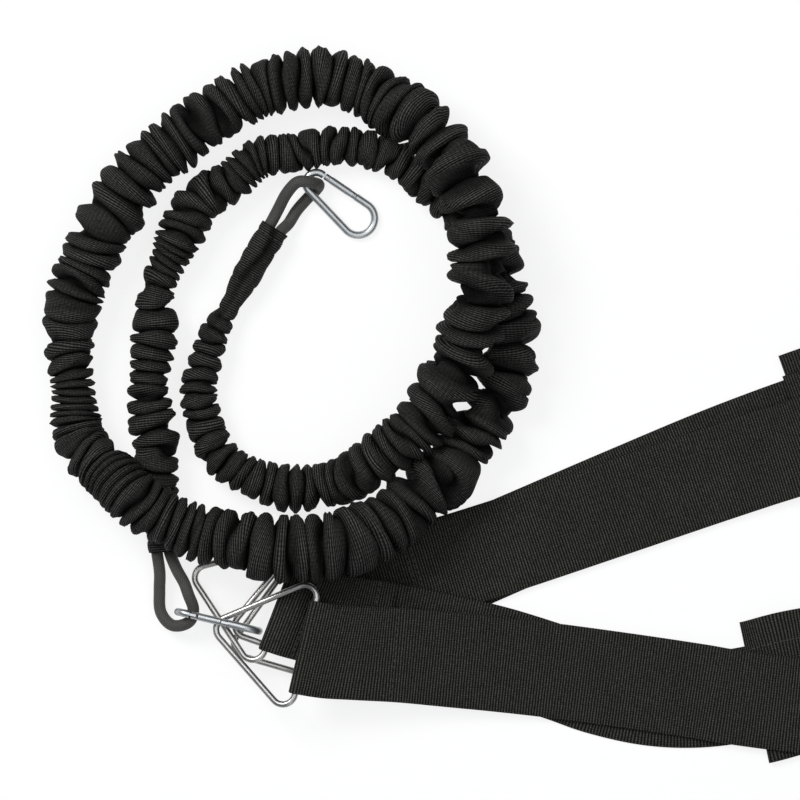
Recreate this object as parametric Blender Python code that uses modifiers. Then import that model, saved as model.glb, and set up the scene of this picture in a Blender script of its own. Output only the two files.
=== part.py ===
"""Resistance sprint trainer: a sleeved elastic cord with a snap hook at each end, and two strap belts whose
triangle rings hang on the second hook. Metres, Z up, laid out flat as in the photograph.

Tables give places as x, y and height in pixels of the photograph, which looks straight down. PIXEL turns
them into metres, so the whole layout grows with it. Thicknesses and wire sizes are in metres of their own.
"""

import math

import bpy
import numpy as np
from mathutils import Matrix, Vector

# One pixel of the photograph: 95 pixels of webbing are 50 mm
PIXEL = 0.001 / 1.9
ORIGIN_X = 664.3
ORIGIN_Y = 474.9
GAP = 0.0003

# Elastic cord and its gathered sleeve
CORD_RADIUS = 0.00315
BORE_RADIUS = 0.0037
MOUTH_BORE_RADIUS = 0.0069
MOUTH_RADIUS = 0.0077
MOUTH_LENGTH = 0.034
MOUTH_TAPER = 0.022
MOUTH_STEP = 0.0055
TAIL_LENGTH = 0.027
LEG_OFFSET = 0.0033
CRIMP_LENGTH = 0.0065
CRIMP_WALL = 0.0006
CRIMP_START = 0.0105
CRIMPED_RADIUS = 0.0026
CRIMPED_OFFSET = 0.0028
ROUTE_STEP = 0.024
ROUTE_SAMPLES = 8
LOOP_SAMPLES = 3
ROUND_SIDES = 2
RING_SIDES = 3
SLEEVE_SIDES = 4
BORE_OVERRUN = 0.002

# Webbing
STRAP_WIDTH = 0.050
STRAP_THICKNESS = 0.0016
PANEL_WIDTH = 0.076
PANEL_THICKNESS = 0.0024
FLAP_LENGTH = 0.058
FOLD_RUN = 0.014
FOLD_START = 0.0035
TURN_RADIUS = 0.012
STRAP_STEP = 0.011
FOLD_STEPS = 10
FOLD_ROWS = 5
RUN_SAMPLES = 6

# Triangle rings
RING_WIRE_RADIUS = 0.0017
RING_HALF_ANGLE = math.radians(35)
RING_CORNER = 0.0065
RING_SIDE_CLEARANCE = 0.0005
RING_HALF_BASE = (STRAP_WIDTH / 2 + RING_SIDE_CLEARANCE
                  + RING_CORNER / math.tan((math.pi / 2 - RING_HALF_ANGLE) / 2))
CORNER_STEPS = 6

# Snap hooks
HOOK_WIRE_RADIUS = 0.002
SMALL_BOW = 0.0056
BIG_BOW = 0.0088
BOW_SPACING = 0.0295
SMALL_BOW_STEPS = 12
BIG_BOW_STEPS = 16
PIVOT_AT = 0.0040
GATE_START = 0.0020
GATE_END = 0.0215
BODY_END = 0.0009
LATCH_AT = 0.0199
TAB_THICKNESS = 0.0012
TAB_HALF_HEIGHT = 0.0013
SLOT_WIDTH = 0.0018
PIN_RADIUS = 0.00055
PIN_HOLE_RADIUS = 0.00064
NOTCH_RADIUS = 0.00078
SPRING_WIRE = 0.00017
SPRING_RADIUS = 0.00065
SPRING_LENGTH = 0.0065
SPRING_TURNS = 6
SPRING_SIDES = 6
COIL_LENGTH = 0.0049
SPRING_BORE = 0.0012
PLUNGER_LENGTH = 0.0022
PIN_SIDES = 24

# Cord route from the belt end to the inner end: x, y, height and width in pixels
SLEEVE_ROUTE = [
    (163, 552, 18.1, 30), (161, 526, 18.7, 31), (158, 500, 19.8, 36), (154, 430, 22.3, 43),
    (148, 385, 21.5, 36), (154, 340, 21.1, 41), (155, 295, 20.4, 34), (168, 261, 20.9, 34),
    (183, 230, 22.3, 42), (200, 200, 22.5, 43), (231, 181, 21.5, 38), (259, 157, 19.6, 36),
    (295, 153, 18.9, 36), (330, 146, 18.7, 35), (367, 149, 18.7, 34), (402, 162, 19.8, 36),
    (440, 192, 21.7, 40), (480, 232, 24.0, 44), (499, 276, 25.9, 48), (507, 321, 26.8, 52),
    (510, 360, 26.8, 52), (501, 386, 26.8, 51), (476, 431, 28.2, 53), (460, 453, 29.1, 54),
    (443, 476, 35.2, 56), (423, 490, 41.5, 57), (398, 515, 50.8, 58), (350, 541, 65.6, 62),
    (315, 547, 70.5, 62), (280, 549, 71.1, 62), (241, 540, 67.1, 56), (200, 533, 62.2, 50),
    (163, 517, 62.9, 50), (133, 496, 62.4, 52), (105, 469, 48.3, 48), (80, 440, 28.0, 48),
    (73, 391, 23.6, 40), (68, 340, 24.8, 45), (78, 287, 27.2, 52), (100, 234, 28.7, 54),
    (124, 193, 29.1, 57), (157, 157, 28.4, 53), (195, 128, 27.2, 53), (232, 101, 27.2, 52),
    (275, 85, 27.2, 53), (320, 77, 27.2, 53), (361, 88, 27.2, 52), (396, 106, 36.9, 53),
    (424, 126, 52.9, 53), (447, 153, 64.6, 57), (465, 186, 73.4, 57), (479, 220, 76.4, 57),
    (481, 276, 77.2, 58), (474, 321, 75.7, 58), (459, 363, 64.6, 57), (444, 392, 57.8, 56),
    (422, 424, 55.7, 52), (386, 452, 54.2, 48), (350, 477, 30.3, 44), (318, 487, 22.7, 40),
    (285, 488, 21.7, 42), (252, 478, 20.8, 36), (227, 462, 19.4, 36), (209, 438, 18.5, 34),
    (201, 409, 17.9, 33), (199, 381, 17.3, 33), (206, 355, 17.0, 30), (215, 332, 16.4, 28),
    (229, 307, 15.8, 29), (243, 282, 15.6, 30), (258, 255, 15.6, 29), (275, 228, 15.4, 29),
]

# Bare cord loops, from one side of the sleeve's mouth round to the other: x, y and height in pixels
LOOP_2_ROUTE = [
    (176.5, 569, 29), (184, 582.5, 30), (188.6, 595, 31.6), (193.4, 609.5, 27.5), (188.4, 622.5, 24),
    (172, 625.5, 16.4), (160.3, 612, 12.4), (159.2, 590, 14), (159.5, 572.7, 17.5),
]
LOOP_1_ROUTE = [
    (277.6, 210, 17.5), (286, 194.2, 25), (295.8, 183, 29.9), (304.2, 181.3, 31.1), (312.2, 182.5, 28.2),
    (318.6, 184.5, 17.4), (315.9, 189.4, 8.3), (308.2, 197, 6.4), (296.6, 210.2, 7.5), (288.5, 223.1, 9.7),
]

# Hooks: the small bow's centre, then its heading in the picture, its roll about it and its rise to the big bow
HOOK_1_SMALL_BOW = (316.1, 182.8, 18.0)
HOOK_1_ANGLES = (math.radians(40.1), 0, math.radians(-11))
HOOK_2_SMALL_BOW = (188.3, 614.2, 26.7)
HOOK_2_ANGLES = (math.radians(13.5), math.radians(88.4), math.radians(-2.8))

# Rings: the heading of each strap in the picture, and the height of each ring's tip on the hook
RING_HEADINGS = [math.radians(angle) for angle in (12.9, 21.0, -15.4, -18.9)]
RING_TIP_HEIGHTS = (0.0154, 0.00759, 0.01231, 0.00927)

# Levels in the pile of strap ends
FOLD_HEIGHT = 2 * RING_WIRE_RADIUS + 2 * STRAP_THICKNESS + 2 * GAP
LAYER = STRAP_THICKNESS + GAP
FLOOR_LAYER = STRAP_THICKNESS / 2
BAR_DROP = RING_WIRE_RADIUS + GAP + STRAP_THICKNESS / 2
LOW_BAR_HEIGHT = 0.01454
TOP_BAR_HEIGHT = 0.02995


def level(metres):
    """Turns a height in metres into pixels, so that it can stand in a route."""
    return metres / PIXEL


ON_FLOOR = level(FLOOR_LAYER)
BAR_3 = level(2 * FOLD_HEIGHT + GAP - STRAP_THICKNESS / 2)
BAR_2 = level(LOW_BAR_HEIGHT)
OVER_BAR_3 = level(2 * FOLD_HEIGHT + 2 * GAP + STRAP_THICKNESS / 2 + GAP / 2)
BAR_1 = level(TOP_BAR_HEIGHT)

# How a strap run comes down from its bar, as shares of its height there
FALL_1_SHARES = (1, 0.928, 0.828, 0.742, 0.575, 0.374, 0.248, 0.141)
FALL_2_SHARES = (1, 1, 1, 0.752, 0.502, 0.28, 0.096)
FALL_3_SHARES = (1, 0.761, 0.504, 0.481, 0.257)


def coming_down(places, height, shares):
    """The first rows of a strap run, whose height falls from the one given."""
    return [(x, y, height * share) for (x, y), share in zip(places, shares)]


# Strap routes from the ring's bar to the far end: x, y and height of the webbing's middle in pixels
TOP_RUN_1 = coming_down([
    (307.1, 647.3), (322, 650), (338, 652), (362, 653), (400, 655), (450, 660), (500, 665), (560, 672),
], BAR_1, FALL_1_SHARES) + [
    (640, 683, 6.1), (700, 692, 6.5), (730, 697, 9.5), (800, 706, 11.8), (860, 709, 16.0), (930, 702, 19.8),
    (1000, 690, 28.5), (1060, 685, 40.3),
]
LOW_RUN_1 = [(282.5, 606.9, BAR_2)] + coming_down([
    (300, 612.5), (330, 620), (354, 624), (400, 632), (450, 643), (500, 655), (560, 674),
], OVER_BAR_3, FALL_2_SHARES) + [
    (600, 688, ON_FLOOR), (650, 699, ON_FLOOR), (700, 701, ON_FLOOR), (752, 694, ON_FLOOR),
    (800, 682, ON_FLOOR), (860, 674, ON_FLOOR), (930, 677, ON_FLOOR), (1000, 683, ON_FLOOR),
    (1060, 685, ON_FLOOR),
]
TURN_1 = (1130, 685)
TOP_RUN_2 = coming_down([
    (327, 603.3), (352, 596), (376, 586), (430, 569), (470, 557),
], BAR_3, FALL_3_SHARES) + [
    (520, 541, 5.5), (600, 514, 5.5), (700, 480, 5.5), (760, 460, 7.6), (800, 447, 11.8), (860, 424, 16.0),
    (930, 396, 19.8), (990, 372, 28.5), (1040, 352, 40.3),
]
LOW_RUN_2 = [
    (322.7, 618.5, ON_FLOOR), (420, 583, ON_FLOOR), (520, 540, ON_FLOOR), (620, 497, ON_FLOOR),
    (720, 455, ON_FLOOR), (800, 425, ON_FLOOR), (860, 405, ON_FLOOR), (930, 388, ON_FLOOR),
    (990, 371, ON_FLOOR), (1040, 352, ON_FLOOR),
]
TURN_2 = (1100, 328)
PANEL_1_START = 752
PANEL_1_TOP_START = 812
PANEL_2_START = 800
PANEL_2_TOP_START = 806

# Finishes: colour, metallic, roughness
FABRIC_COLOUR = ((0.012, 0.012, 0.011), 0, 0.9)
ELASTIC_COLOUR = ((0.020, 0.020, 0.018), 0, 0.8)
WEBBING_COLOUR = ((0.016, 0.016, 0.014), 0, 0.85)
ZINC_COLOUR = ((0.62, 0.64, 0.67), 1, 0.3)
NICKEL_COLOUR = ((0.72, 0.71, 0.69), 1, 0.18)


# Scene

for old in list(bpy.data.objects):
    bpy.data.objects.remove(old, do_unlink=True)

parts = bpy.data.collections.new("resistance_sprint_trainer")
cutters = bpy.data.collections.new("cutters")
bpy.context.scene.collection.children.link(parts)
bpy.context.scene.collection.children.link(cutters)
cutters.hide_render = True


def finish(name, look):
    colour, metallic, roughness = look
    material = bpy.data.materials.new(name)
    material.use_nodes = True
    shader = material.node_tree.nodes["Principled BSDF"]
    shader.inputs["Base Color"].default_value = (*colour, 1)
    shader.inputs["Metallic"].default_value = metallic
    shader.inputs["Roughness"].default_value = roughness
    material.diffuse_color = (*colour, 1)
    return material


def place(x, y, height):
    """The point in metres for a place in the photograph."""
    return Vector(((x - ORIGIN_X) * PIXEL, (ORIGIN_Y - y) * PIXEL, height * PIXEL))


def smooth(rows, samples):
    """A smooth curve through every row of a table, as many numbers wide as the table."""
    table = np.array(rows, float)
    table = np.vstack([2 * table[0] - table[1], table, 2 * table[-1] - table[-2]])
    steps = np.arange(samples) / samples
    curve = []
    for before, start, end, after in zip(table, table[1:], table[2:], table[3:]):
        for t in steps:
            curve.append((2 * start + (end - before) * t + (2 * before - 5 * start + 4 * end - after) * t * t
                          + (3 * start - before - 3 * end + after) * t ** 3) / 2)
    return np.array(curve + [table[-2]])


def lengths_along(points):
    steps = np.linalg.norm(np.diff(points[:, :3], axis=0), axis=1)
    return np.concatenate([[0], np.cumsum(steps)])


def read_at(curve, along, wanted):
    return np.stack([np.interp(wanted, along, curve[:, k]) for k in range(curve.shape[1])], axis=1)


def wire(name, points, radii, material, closed=False, sides=ROUND_SIDES, home=parts, origin=None):
    """A round tube along a list of points, capped at both ends unless it is closed."""
    data = bpy.data.curves.new(name, "CURVE")
    data.dimensions = "3D"
    data.bevel_depth = max(radii)
    data.bevel_resolution = sides
    data.use_fill_caps = True
    data.twist_mode = "MINIMUM"
    origin = origin or Matrix()
    spline = data.splines.new("POLY")
    spline.points.add(len(points) - 1)
    for knot, point, radius in zip(spline.points, points, radii):
        knot.co = (*(origin.inverted() @ Vector(point)), 1)
        knot.radius = radius / data.bevel_depth
    spline.use_cyclic_u = closed
    obj = bpy.data.objects.new(name, data)
    obj.matrix_world = origin
    obj.data.materials.append(material)
    home.objects.link(obj)
    return obj


def meshed(curve_object):
    """Replaces a curve object with the mesh it makes, so that a Boolean can take it."""
    bpy.context.view_layer.update()
    graph = bpy.context.evaluated_depsgraph_get()
    name, home = curve_object.name, curve_object.users_collection[0]
    mesh = bpy.data.meshes.new_from_object(curve_object.evaluated_get(graph))
    obj = bpy.data.objects.new(name + "_mesh", mesh)
    obj.matrix_world = curve_object.matrix_world.copy()
    home.objects.link(obj)
    bpy.data.objects.remove(curve_object, do_unlink=True)
    obj.name = name
    return obj


def solid(name, vertices, faces, material, home=parts, origin=None):
    """A mesh object, given in world places, whose own origin is at the frame given."""
    mesh = bpy.data.meshes.new(name)
    origin = origin or Matrix()
    back = origin.inverted()
    mesh.from_pydata([back @ Vector(v) for v in vertices], [], faces)
    mesh.update()
    obj = bpy.data.objects.new(name, mesh)
    obj.matrix_world = origin
    if material:
        obj.data.materials.append(material)
    home.objects.link(obj)
    if home is cutters:
        obj.hide_render = True
        obj.display_type = "WIRE"
    return obj


def combine(target, other, operation):
    modifier = target.modifiers.new(operation.lower(), "BOOLEAN")
    modifier.operation = operation
    modifier.solver = "EXACT"
    modifier.object = other


def block(name, frame, low, high, home=cutters, material=None):
    """A box between two corners given in a local frame."""
    corners = [frame @ Vector((x, y, z)) for x in (low[0], high[0]) for y in (low[1], high[1])
               for z in (low[2], high[2])]
    faces = [(0, 1, 3, 2), (4, 6, 7, 5), (0, 4, 5, 1), (2, 3, 7, 6), (0, 2, 6, 4), (1, 5, 7, 3)]
    return solid(name, corners, faces, material, home)


def rod(name, frame, start, end, radius, home=cutters, material=None, sides=PIN_SIDES, origin=None):
    """A straight round bar between two points given in a local frame."""
    start, end = Vector(start), Vector(end)
    along = (end - start).normalized()
    side = along.orthogonal().normalized()
    other = along.cross(side)
    ring = []
    for centre in (start, end):
        for k in range(sides):
            angle = math.tau * k / sides
            ring.append(frame @ (centre + radius * (math.cos(angle) * side + math.sin(angle) * other)))
    faces = [(k, (k + 1) % sides, sides + (k + 1) % sides, sides + k) for k in range(sides)]
    faces += [tuple(reversed(range(sides))), tuple(range(sides, 2 * sides))]
    return solid(name, ring, faces, material, home, origin)


# Materials, one for each piece

fabric = finish("sleeve", FABRIC_COLOUR)
elastic = finish("elastic_core", ELASTIC_COLOUR)
webbing = {name: finish(name, WEBBING_COLOUR)
           for name in ("belt_1_strap", "belt_1_panel", "belt_2_strap", "belt_2_panel")}


# Sleeve and elastic core

route = smooth([(*place(x, y, z), width * PIXEL / 2) for x, y, z, width in SLEEVE_ROUTE], ROUTE_SAMPLES)
along = lengths_along(route)
total = along[-1]
near = np.arange(0, MOUTH_LENGTH + MOUTH_TAPER, MOUTH_STEP)
middle = np.linspace(near[-1], total - near[-1], int((total - 2 * near[-1]) / ROUTE_STEP))
stations = np.concatenate([near[:-1], middle, (total - near[:-1])[::-1]])
line = read_at(route, along, stations)
from_mouth = np.minimum(stations, total - stations)


def ease(value):
    value = min(max(value, 0), 1)
    return value * value * (3 - 2 * value)


def mouth_share(distance):
    """1 inside the doubled end of the sleeve, 0 beyond its taper."""
    return 1 - ease((distance - MOUTH_LENGTH + MOUTH_TAPER / 2) / MOUTH_TAPER)


shares = np.array([mouth_share(d) for d in from_mouth])
outer = np.maximum(line[:, 3], shares * MOUTH_RADIUS)
bore = BORE_RADIUS + shares * (MOUTH_BORE_RADIUS - BORE_RADIUS)
path = [Vector(p) for p in line[:, :3]]
sleeve = meshed(wire("sleeve", path, outer, fabric, sides=SLEEVE_SIDES))
first_way = (path[0] - path[1]).normalized() * BORE_OVERRUN
last_way = (path[-1] - path[-2]).normalized() * BORE_OVERRUN
bore_path = [path[0] + first_way] + path[1:-1] + [path[-1] + last_way]
sleeve_bore = meshed(wire("sleeve_bore", bore_path, bore, fabric, sides=SLEEVE_SIDES, home=cutters))
sleeve_bore.hide_render = True
sleeve_bore.display_type = "WIRE"
combine(sleeve, sleeve_bore, "DIFFERENCE")


def side_of(index):
    """The level direction across the cord at a station, on its left."""
    ahead = path[min(index + 1, len(path) - 1)] - path[max(index - 1, 0)]
    return Vector((-ahead.y, ahead.x, 0)).normalized()


def leg(index, sign):
    """The centre and radius of a leg beside the sleeve's own centre line."""
    distance = from_mouth[index]
    reach = mouth_share(distance + MOUTH_TAPER / 2)
    middle_of_crimp = CRIMP_START + CRIMP_LENGTH / 2
    pinch = 1 - ease((abs(distance - middle_of_crimp) - CRIMP_LENGTH / 2) / (MOUTH_STEP / 2))
    offset = LEG_OFFSET - pinch * (LEG_OFFSET - CRIMPED_OFFSET)
    radius = CORD_RADIUS - pinch * (CORD_RADIUS - CRIMPED_RADIUS)
    return path[index] + side_of(index) * (sign * offset * reach), radius


count = len(path)
tail = [k for k in range(count // 2) if from_mouth[k] <= TAIL_LENGTH]
core = [leg(k, -1) for k in reversed(tail)]
loop_2 = smooth([core[-1][0], *[place(*p) for p in LOOP_2_ROUTE], leg(0, 1)[0]], LOOP_SAMPLES)[1:-1]
core += [(Vector(p), CORD_RADIUS) for p in loop_2]
core += [leg(k, 1) for k in range(count)]
loop_1 = smooth([core[-1][0], *[place(*p) for p in LOOP_1_ROUTE], leg(count - 1, -1)[0]], LOOP_SAMPLES)[1:-1]
core += [(Vector(p), CORD_RADIUS) for p in loop_1]
core += [leg(count - 1 - k, -1) for k in tail]
elastic_core = wire("elastic_core", [p for p, r in core], [r for p, r in core], elastic)

for number, mouth in enumerate((count - 1, 0), 1):
    name = f"loop_crimp_{number}"
    rings = []
    order = [abs(mouth - k) for k in range(count // 2)]
    ends = [Vector([np.interp(start, [from_mouth[k] for k in order], [path[k][axis] for k in order])
                    for axis in range(3)]) for start in (CRIMP_START, CRIMP_START + CRIMP_LENGTH)]
    inward = (ends[1] - ends[0]).normalized()
    across = Vector((0, 0, 1)).cross(inward).normalized()
    up = inward.cross(across).normalized()
    for grow in (GAP, GAP + CRIMP_WALL):
        for centre in ends:
            outline = []
            for k in range(PIN_SIDES):
                angle = math.tau * (k + 1 / 2) / PIN_SIDES
                shift = math.copysign(CRIMPED_OFFSET, math.cos(angle))
                reach = CRIMPED_RADIUS + grow
                level_reach = shift + reach * math.cos(angle)
                outline.append(centre + across * level_reach + up * reach * math.sin(angle))
            rings.append(outline)
    n = PIN_SIDES
    vertices = [v for ring in rings for v in ring]
    faces = []
    for k in range(n):
        m = (k + 1) % n
        faces += [(k, n + k, n + m, m), (2 * n + k, 2 * n + m, 3 * n + m, 3 * n + k),
                  (k, m, 2 * n + m, 2 * n + k), (n + k, 3 * n + k, 3 * n + m, n + m)]
    solid(name, vertices, faces, finish(name, ZINC_COLOUR))


# Triangle rings

def rounded(corners, radius):
    """A closed outline with its corners rounded, in a plane."""
    outline = []
    for before, corner, after in zip(corners[-1:] + corners[:-1], corners, corners[1:] + corners[:1]):
        back = (before - corner).normalized()
        on = (after - corner).normalized()
        half = back.angle(on) / 2
        centre = corner + (back + on).normalized() * (radius / math.sin(half))
        first = corner + back * (radius / math.tan(half)) - centre
        last = corner + on * (radius / math.tan(half)) - centre
        turn = first.angle(last)
        for k in range(CORNER_STEPS + 1):
            share = k / CORNER_STEPS
            outline.append(centre + (first * math.sin((1 - share) * turn) + last * math.sin(share * turn))
                           / math.sin(turn))
    return outline


def heading_frame(heading, fall, origin):
    """A frame whose X points back along a strap's heading and falls towards its tip, with Y level."""
    x_level = Vector((-math.cos(heading), math.sin(heading), 0))
    y_axis = Vector((0, 0, 1)).cross(x_level)
    x_axis = x_level * math.cos(fall) - Vector((0, 0, 1)) * math.sin(fall)
    z_axis = x_axis.cross(y_axis)
    frame = Matrix((x_axis, y_axis, z_axis)).transposed().to_4x4()
    frame.translation = origin
    return frame


ring_tip = RING_HALF_BASE / math.tan(RING_HALF_ANGLE)
triangle = rounded([Vector((0, -RING_HALF_BASE, 0)), Vector((0, RING_HALF_BASE, 0)), Vector((ring_tip, 0, 0))],
                   RING_CORNER)


# Straps

def run_points(rows, turn, last_height):
    """A strap run from its ring's bar to the start of the turn, read off at even steps, in metres."""
    rows = [tuple(place(*row)) for row in rows] + [(*place(*turn, 0).xy, last_height)]
    curve = smooth(rows, RUN_SAMPLES)
    distance = lengths_along(curve)
    wanted = np.concatenate([np.linspace(0, FOLD_RUN, FOLD_ROWS)[:-1],
                             np.linspace(FOLD_RUN, distance[-1], int(distance[-1] / STRAP_STEP))])
    return [Vector(p) for p in read_at(curve, distance, wanted)], wanted


def across_run(points, wanted, heading):
    """Level directions across a run. They start square to the ring's bar and turn square to the run."""
    bar = Vector((math.sin(heading), math.cos(heading), 0))
    result = []
    for k, distance in enumerate(wanted):
        ahead = points[min(k + 1, len(points) - 1)] - points[max(k - 1, 0)]
        square = Vector((-ahead.y, ahead.x, 0)).normalized()
        share = ease((distance - FOLD_RUN) / (FLAP_LENGTH - FOLD_RUN))
        result.append((bar * (1 - share) + square * share).normalized())
    return result


def normals_of(points, across):
    result = []
    for k in range(len(points)):
        ahead = (points[min(k + 1, len(points) - 1)] - points[max(k - 1, 0)]).normalized()
        result.append(ahead.cross(across[k]).normalized())
    return result


def fold(points, wanted, across, normals, side):
    """The flap and the loop round the bar, from the flap's cut end to the start of the run."""
    last = max(k for k, d in enumerate(wanted) if d <= FLAP_LENGTH)
    rows = []
    for k in range(last, 0, -1):
        share = ease((wanted[k] - FOLD_START) / FOLD_RUN)
        height = 2 * BAR_DROP + (LAYER - 2 * BAR_DROP) * share
        rows.append((points[k] + normals[k] * (side * height), across[k]))
    way = (points[1] - points[0]).normalized()
    normal = way.cross(across[0]).normalized()
    for k in range(FOLD_STEPS):
        angle = math.pi * k / FOLD_STEPS
        rows.append((points[0] + normal * (side * BAR_DROP * (1 + math.cos(angle)))
                     - way * (BAR_DROP * math.sin(angle)), across[0]))
    return rows


def strip(name, rows, width, thickness, material):
    """A webbing strip: an open surface through its rows, thickened to both sides."""
    vertices = []
    for point, side in rows:
        vertices += [point - side * (width / 2), point + side * (width / 2)]
    faces = [(2 * k, 2 * k + 2, 2 * k + 3, 2 * k + 1) for k in range(len(rows) - 1)]
    obj = solid(name, vertices, faces, material)
    thick = obj.modifiers.new("thickness", "SOLIDIFY")
    thick.thickness = thickness
    thick.offset = 0
    thick.use_even_offset = True
    return obj


def belt(number, top_rows, low_rows, turn, top_heading, low_heading, panel_starts):
    """One strap with a ring at each end, laid as a flat loop, and the wide panel inside its far end."""
    top, top_at = run_points(top_rows, turn, 2 * TURN_RADIUS + FLOOR_LAYER)
    low, low_at = run_points(low_rows, turn, FLOOR_LAYER)
    top_across = across_run(top, top_at, top_heading)
    low_across = across_run(low, low_at, low_heading)
    top_normals = normals_of(top, top_across)
    low_normals = normals_of(low, low_across)
    way = (low[-1] - low[-2])
    way.z = 0
    way.normalize()
    centre = low[-1] + Vector((0, 0, TURN_RADIUS))
    side = Vector((-way.y, way.x, 0))
    turn_rows = []
    inner_rows = []
    inward = STRAP_THICKNESS / 2 + GAP + PANEL_THICKNESS / 2
    for k in range(1, FOLD_STEPS):
        angle = math.pi * k / FOLD_STEPS
        spoke = way * math.sin(angle) - Vector((0, 0, 1)) * math.cos(angle)
        turn_rows.append((centre + spoke * TURN_RADIUS, side))
        inner_rows.append((centre + spoke * (TURN_RADIUS - inward), side))
    rows = fold(low, low_at, low_across, low_normals, 1)
    rows += list(zip(low, low_across)) + turn_rows + list(zip(top, top_across))[::-1]
    rows += fold(top, top_at, top_across, top_normals, -1)[::-1]
    strip(f"belt_{number}_strap", rows, STRAP_WIDTH, STRAP_THICKNESS, webbing[f"belt_{number}_strap"])
    low_start, top_start = [(x - ORIGIN_X) * PIXEL for x in panel_starts]
    inner = [(p + n * inward, a) for p, n, a in zip(low, low_normals, low_across) if p.x >= low_start]
    inner += inner_rows
    inner += [(p - n * inward, a) for p, n, a in zip(top, top_normals, top_across) if p.x >= top_start][::-1]
    strip(f"belt_{number}_panel", inner, PANEL_WIDTH, PANEL_THICKNESS, webbing[f"belt_{number}_panel"])
    return [(top[0] - top_normals[0] * BAR_DROP), (low[0] + low_normals[0] * BAR_DROP)]


bars = belt(1, TOP_RUN_1, LOW_RUN_1, TURN_1, RING_HEADINGS[0], RING_HEADINGS[1],
            (PANEL_1_START, PANEL_1_TOP_START))
bars += belt(2, TOP_RUN_2, LOW_RUN_2, TURN_2, RING_HEADINGS[2], RING_HEADINGS[3],
             (PANEL_2_START, PANEL_2_TOP_START))

for number, (bar, heading, tip_height) in enumerate(zip(bars, RING_HEADINGS, RING_TIP_HEIGHTS), 1):
    name = f"ring_{number}"
    frame = heading_frame(heading, math.asin((bar.z - tip_height) / ring_tip), bar)
    points = [frame @ p for p in triangle]
    wire(name, points, [RING_WIRE_RADIUS] * len(points), finish(name, NICKEL_COLOUR), closed=True,
         sides=RING_SIDES, origin=frame)


# Snap hooks

lean = math.asin((BIG_BOW - SMALL_BOW) / BOW_SPACING)


def arc(centre, radius, start, end, steps):
    """Points round a bow of the hook, in the hook's own plane."""
    return [Vector((centre + radius * math.cos(start + (end - start) * k / steps),
                    radius * math.sin(start + (end - start) * k / steps), 0)) for k in range(steps + 1)]


def hook_frame(small_bow, heading, roll, rise):
    """A frame at the small bow's centre with X to the big bow and Y to the gate."""
    level_x = Vector((math.cos(heading), -math.sin(heading), 0))
    level_y = Vector((0, 0, 1)).cross(level_x)
    x_axis = level_x * math.cos(rise) + Vector((0, 0, 1)) * math.sin(rise)
    upright = x_axis.cross(level_y)
    y_axis = level_y * math.cos(roll) + upright * math.sin(roll)
    frame = Matrix((x_axis, y_axis, x_axis.cross(y_axis))).transposed().to_4x4()
    frame.translation = small_bow
    return frame


gate_foot = Vector((-SMALL_BOW * math.sin(lean), SMALL_BOW * math.cos(lean), 0))
gate_way = Vector((math.cos(lean), math.sin(lean), 0))
gate_lift = Vector((-math.sin(lean), math.cos(lean), 0))
gate_line = Matrix((gate_way, gate_lift, Vector((0, 0, 1)))).transposed().to_4x4()
gate_line.translation = gate_foot
wire_path = [gate_foot + gate_way * (GATE_END + GAP)]
wire_path += arc(BOW_SPACING, BIG_BOW, math.pi / 2 + lean, -math.pi / 2 - lean, BIG_BOW_STEPS)
wire_path += arc(0, SMALL_BOW, -math.pi / 2 - lean, -3 * math.pi / 2 + lean, SMALL_BOW_STEPS)
wire_path += [gate_foot + gate_way * BODY_END]


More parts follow.
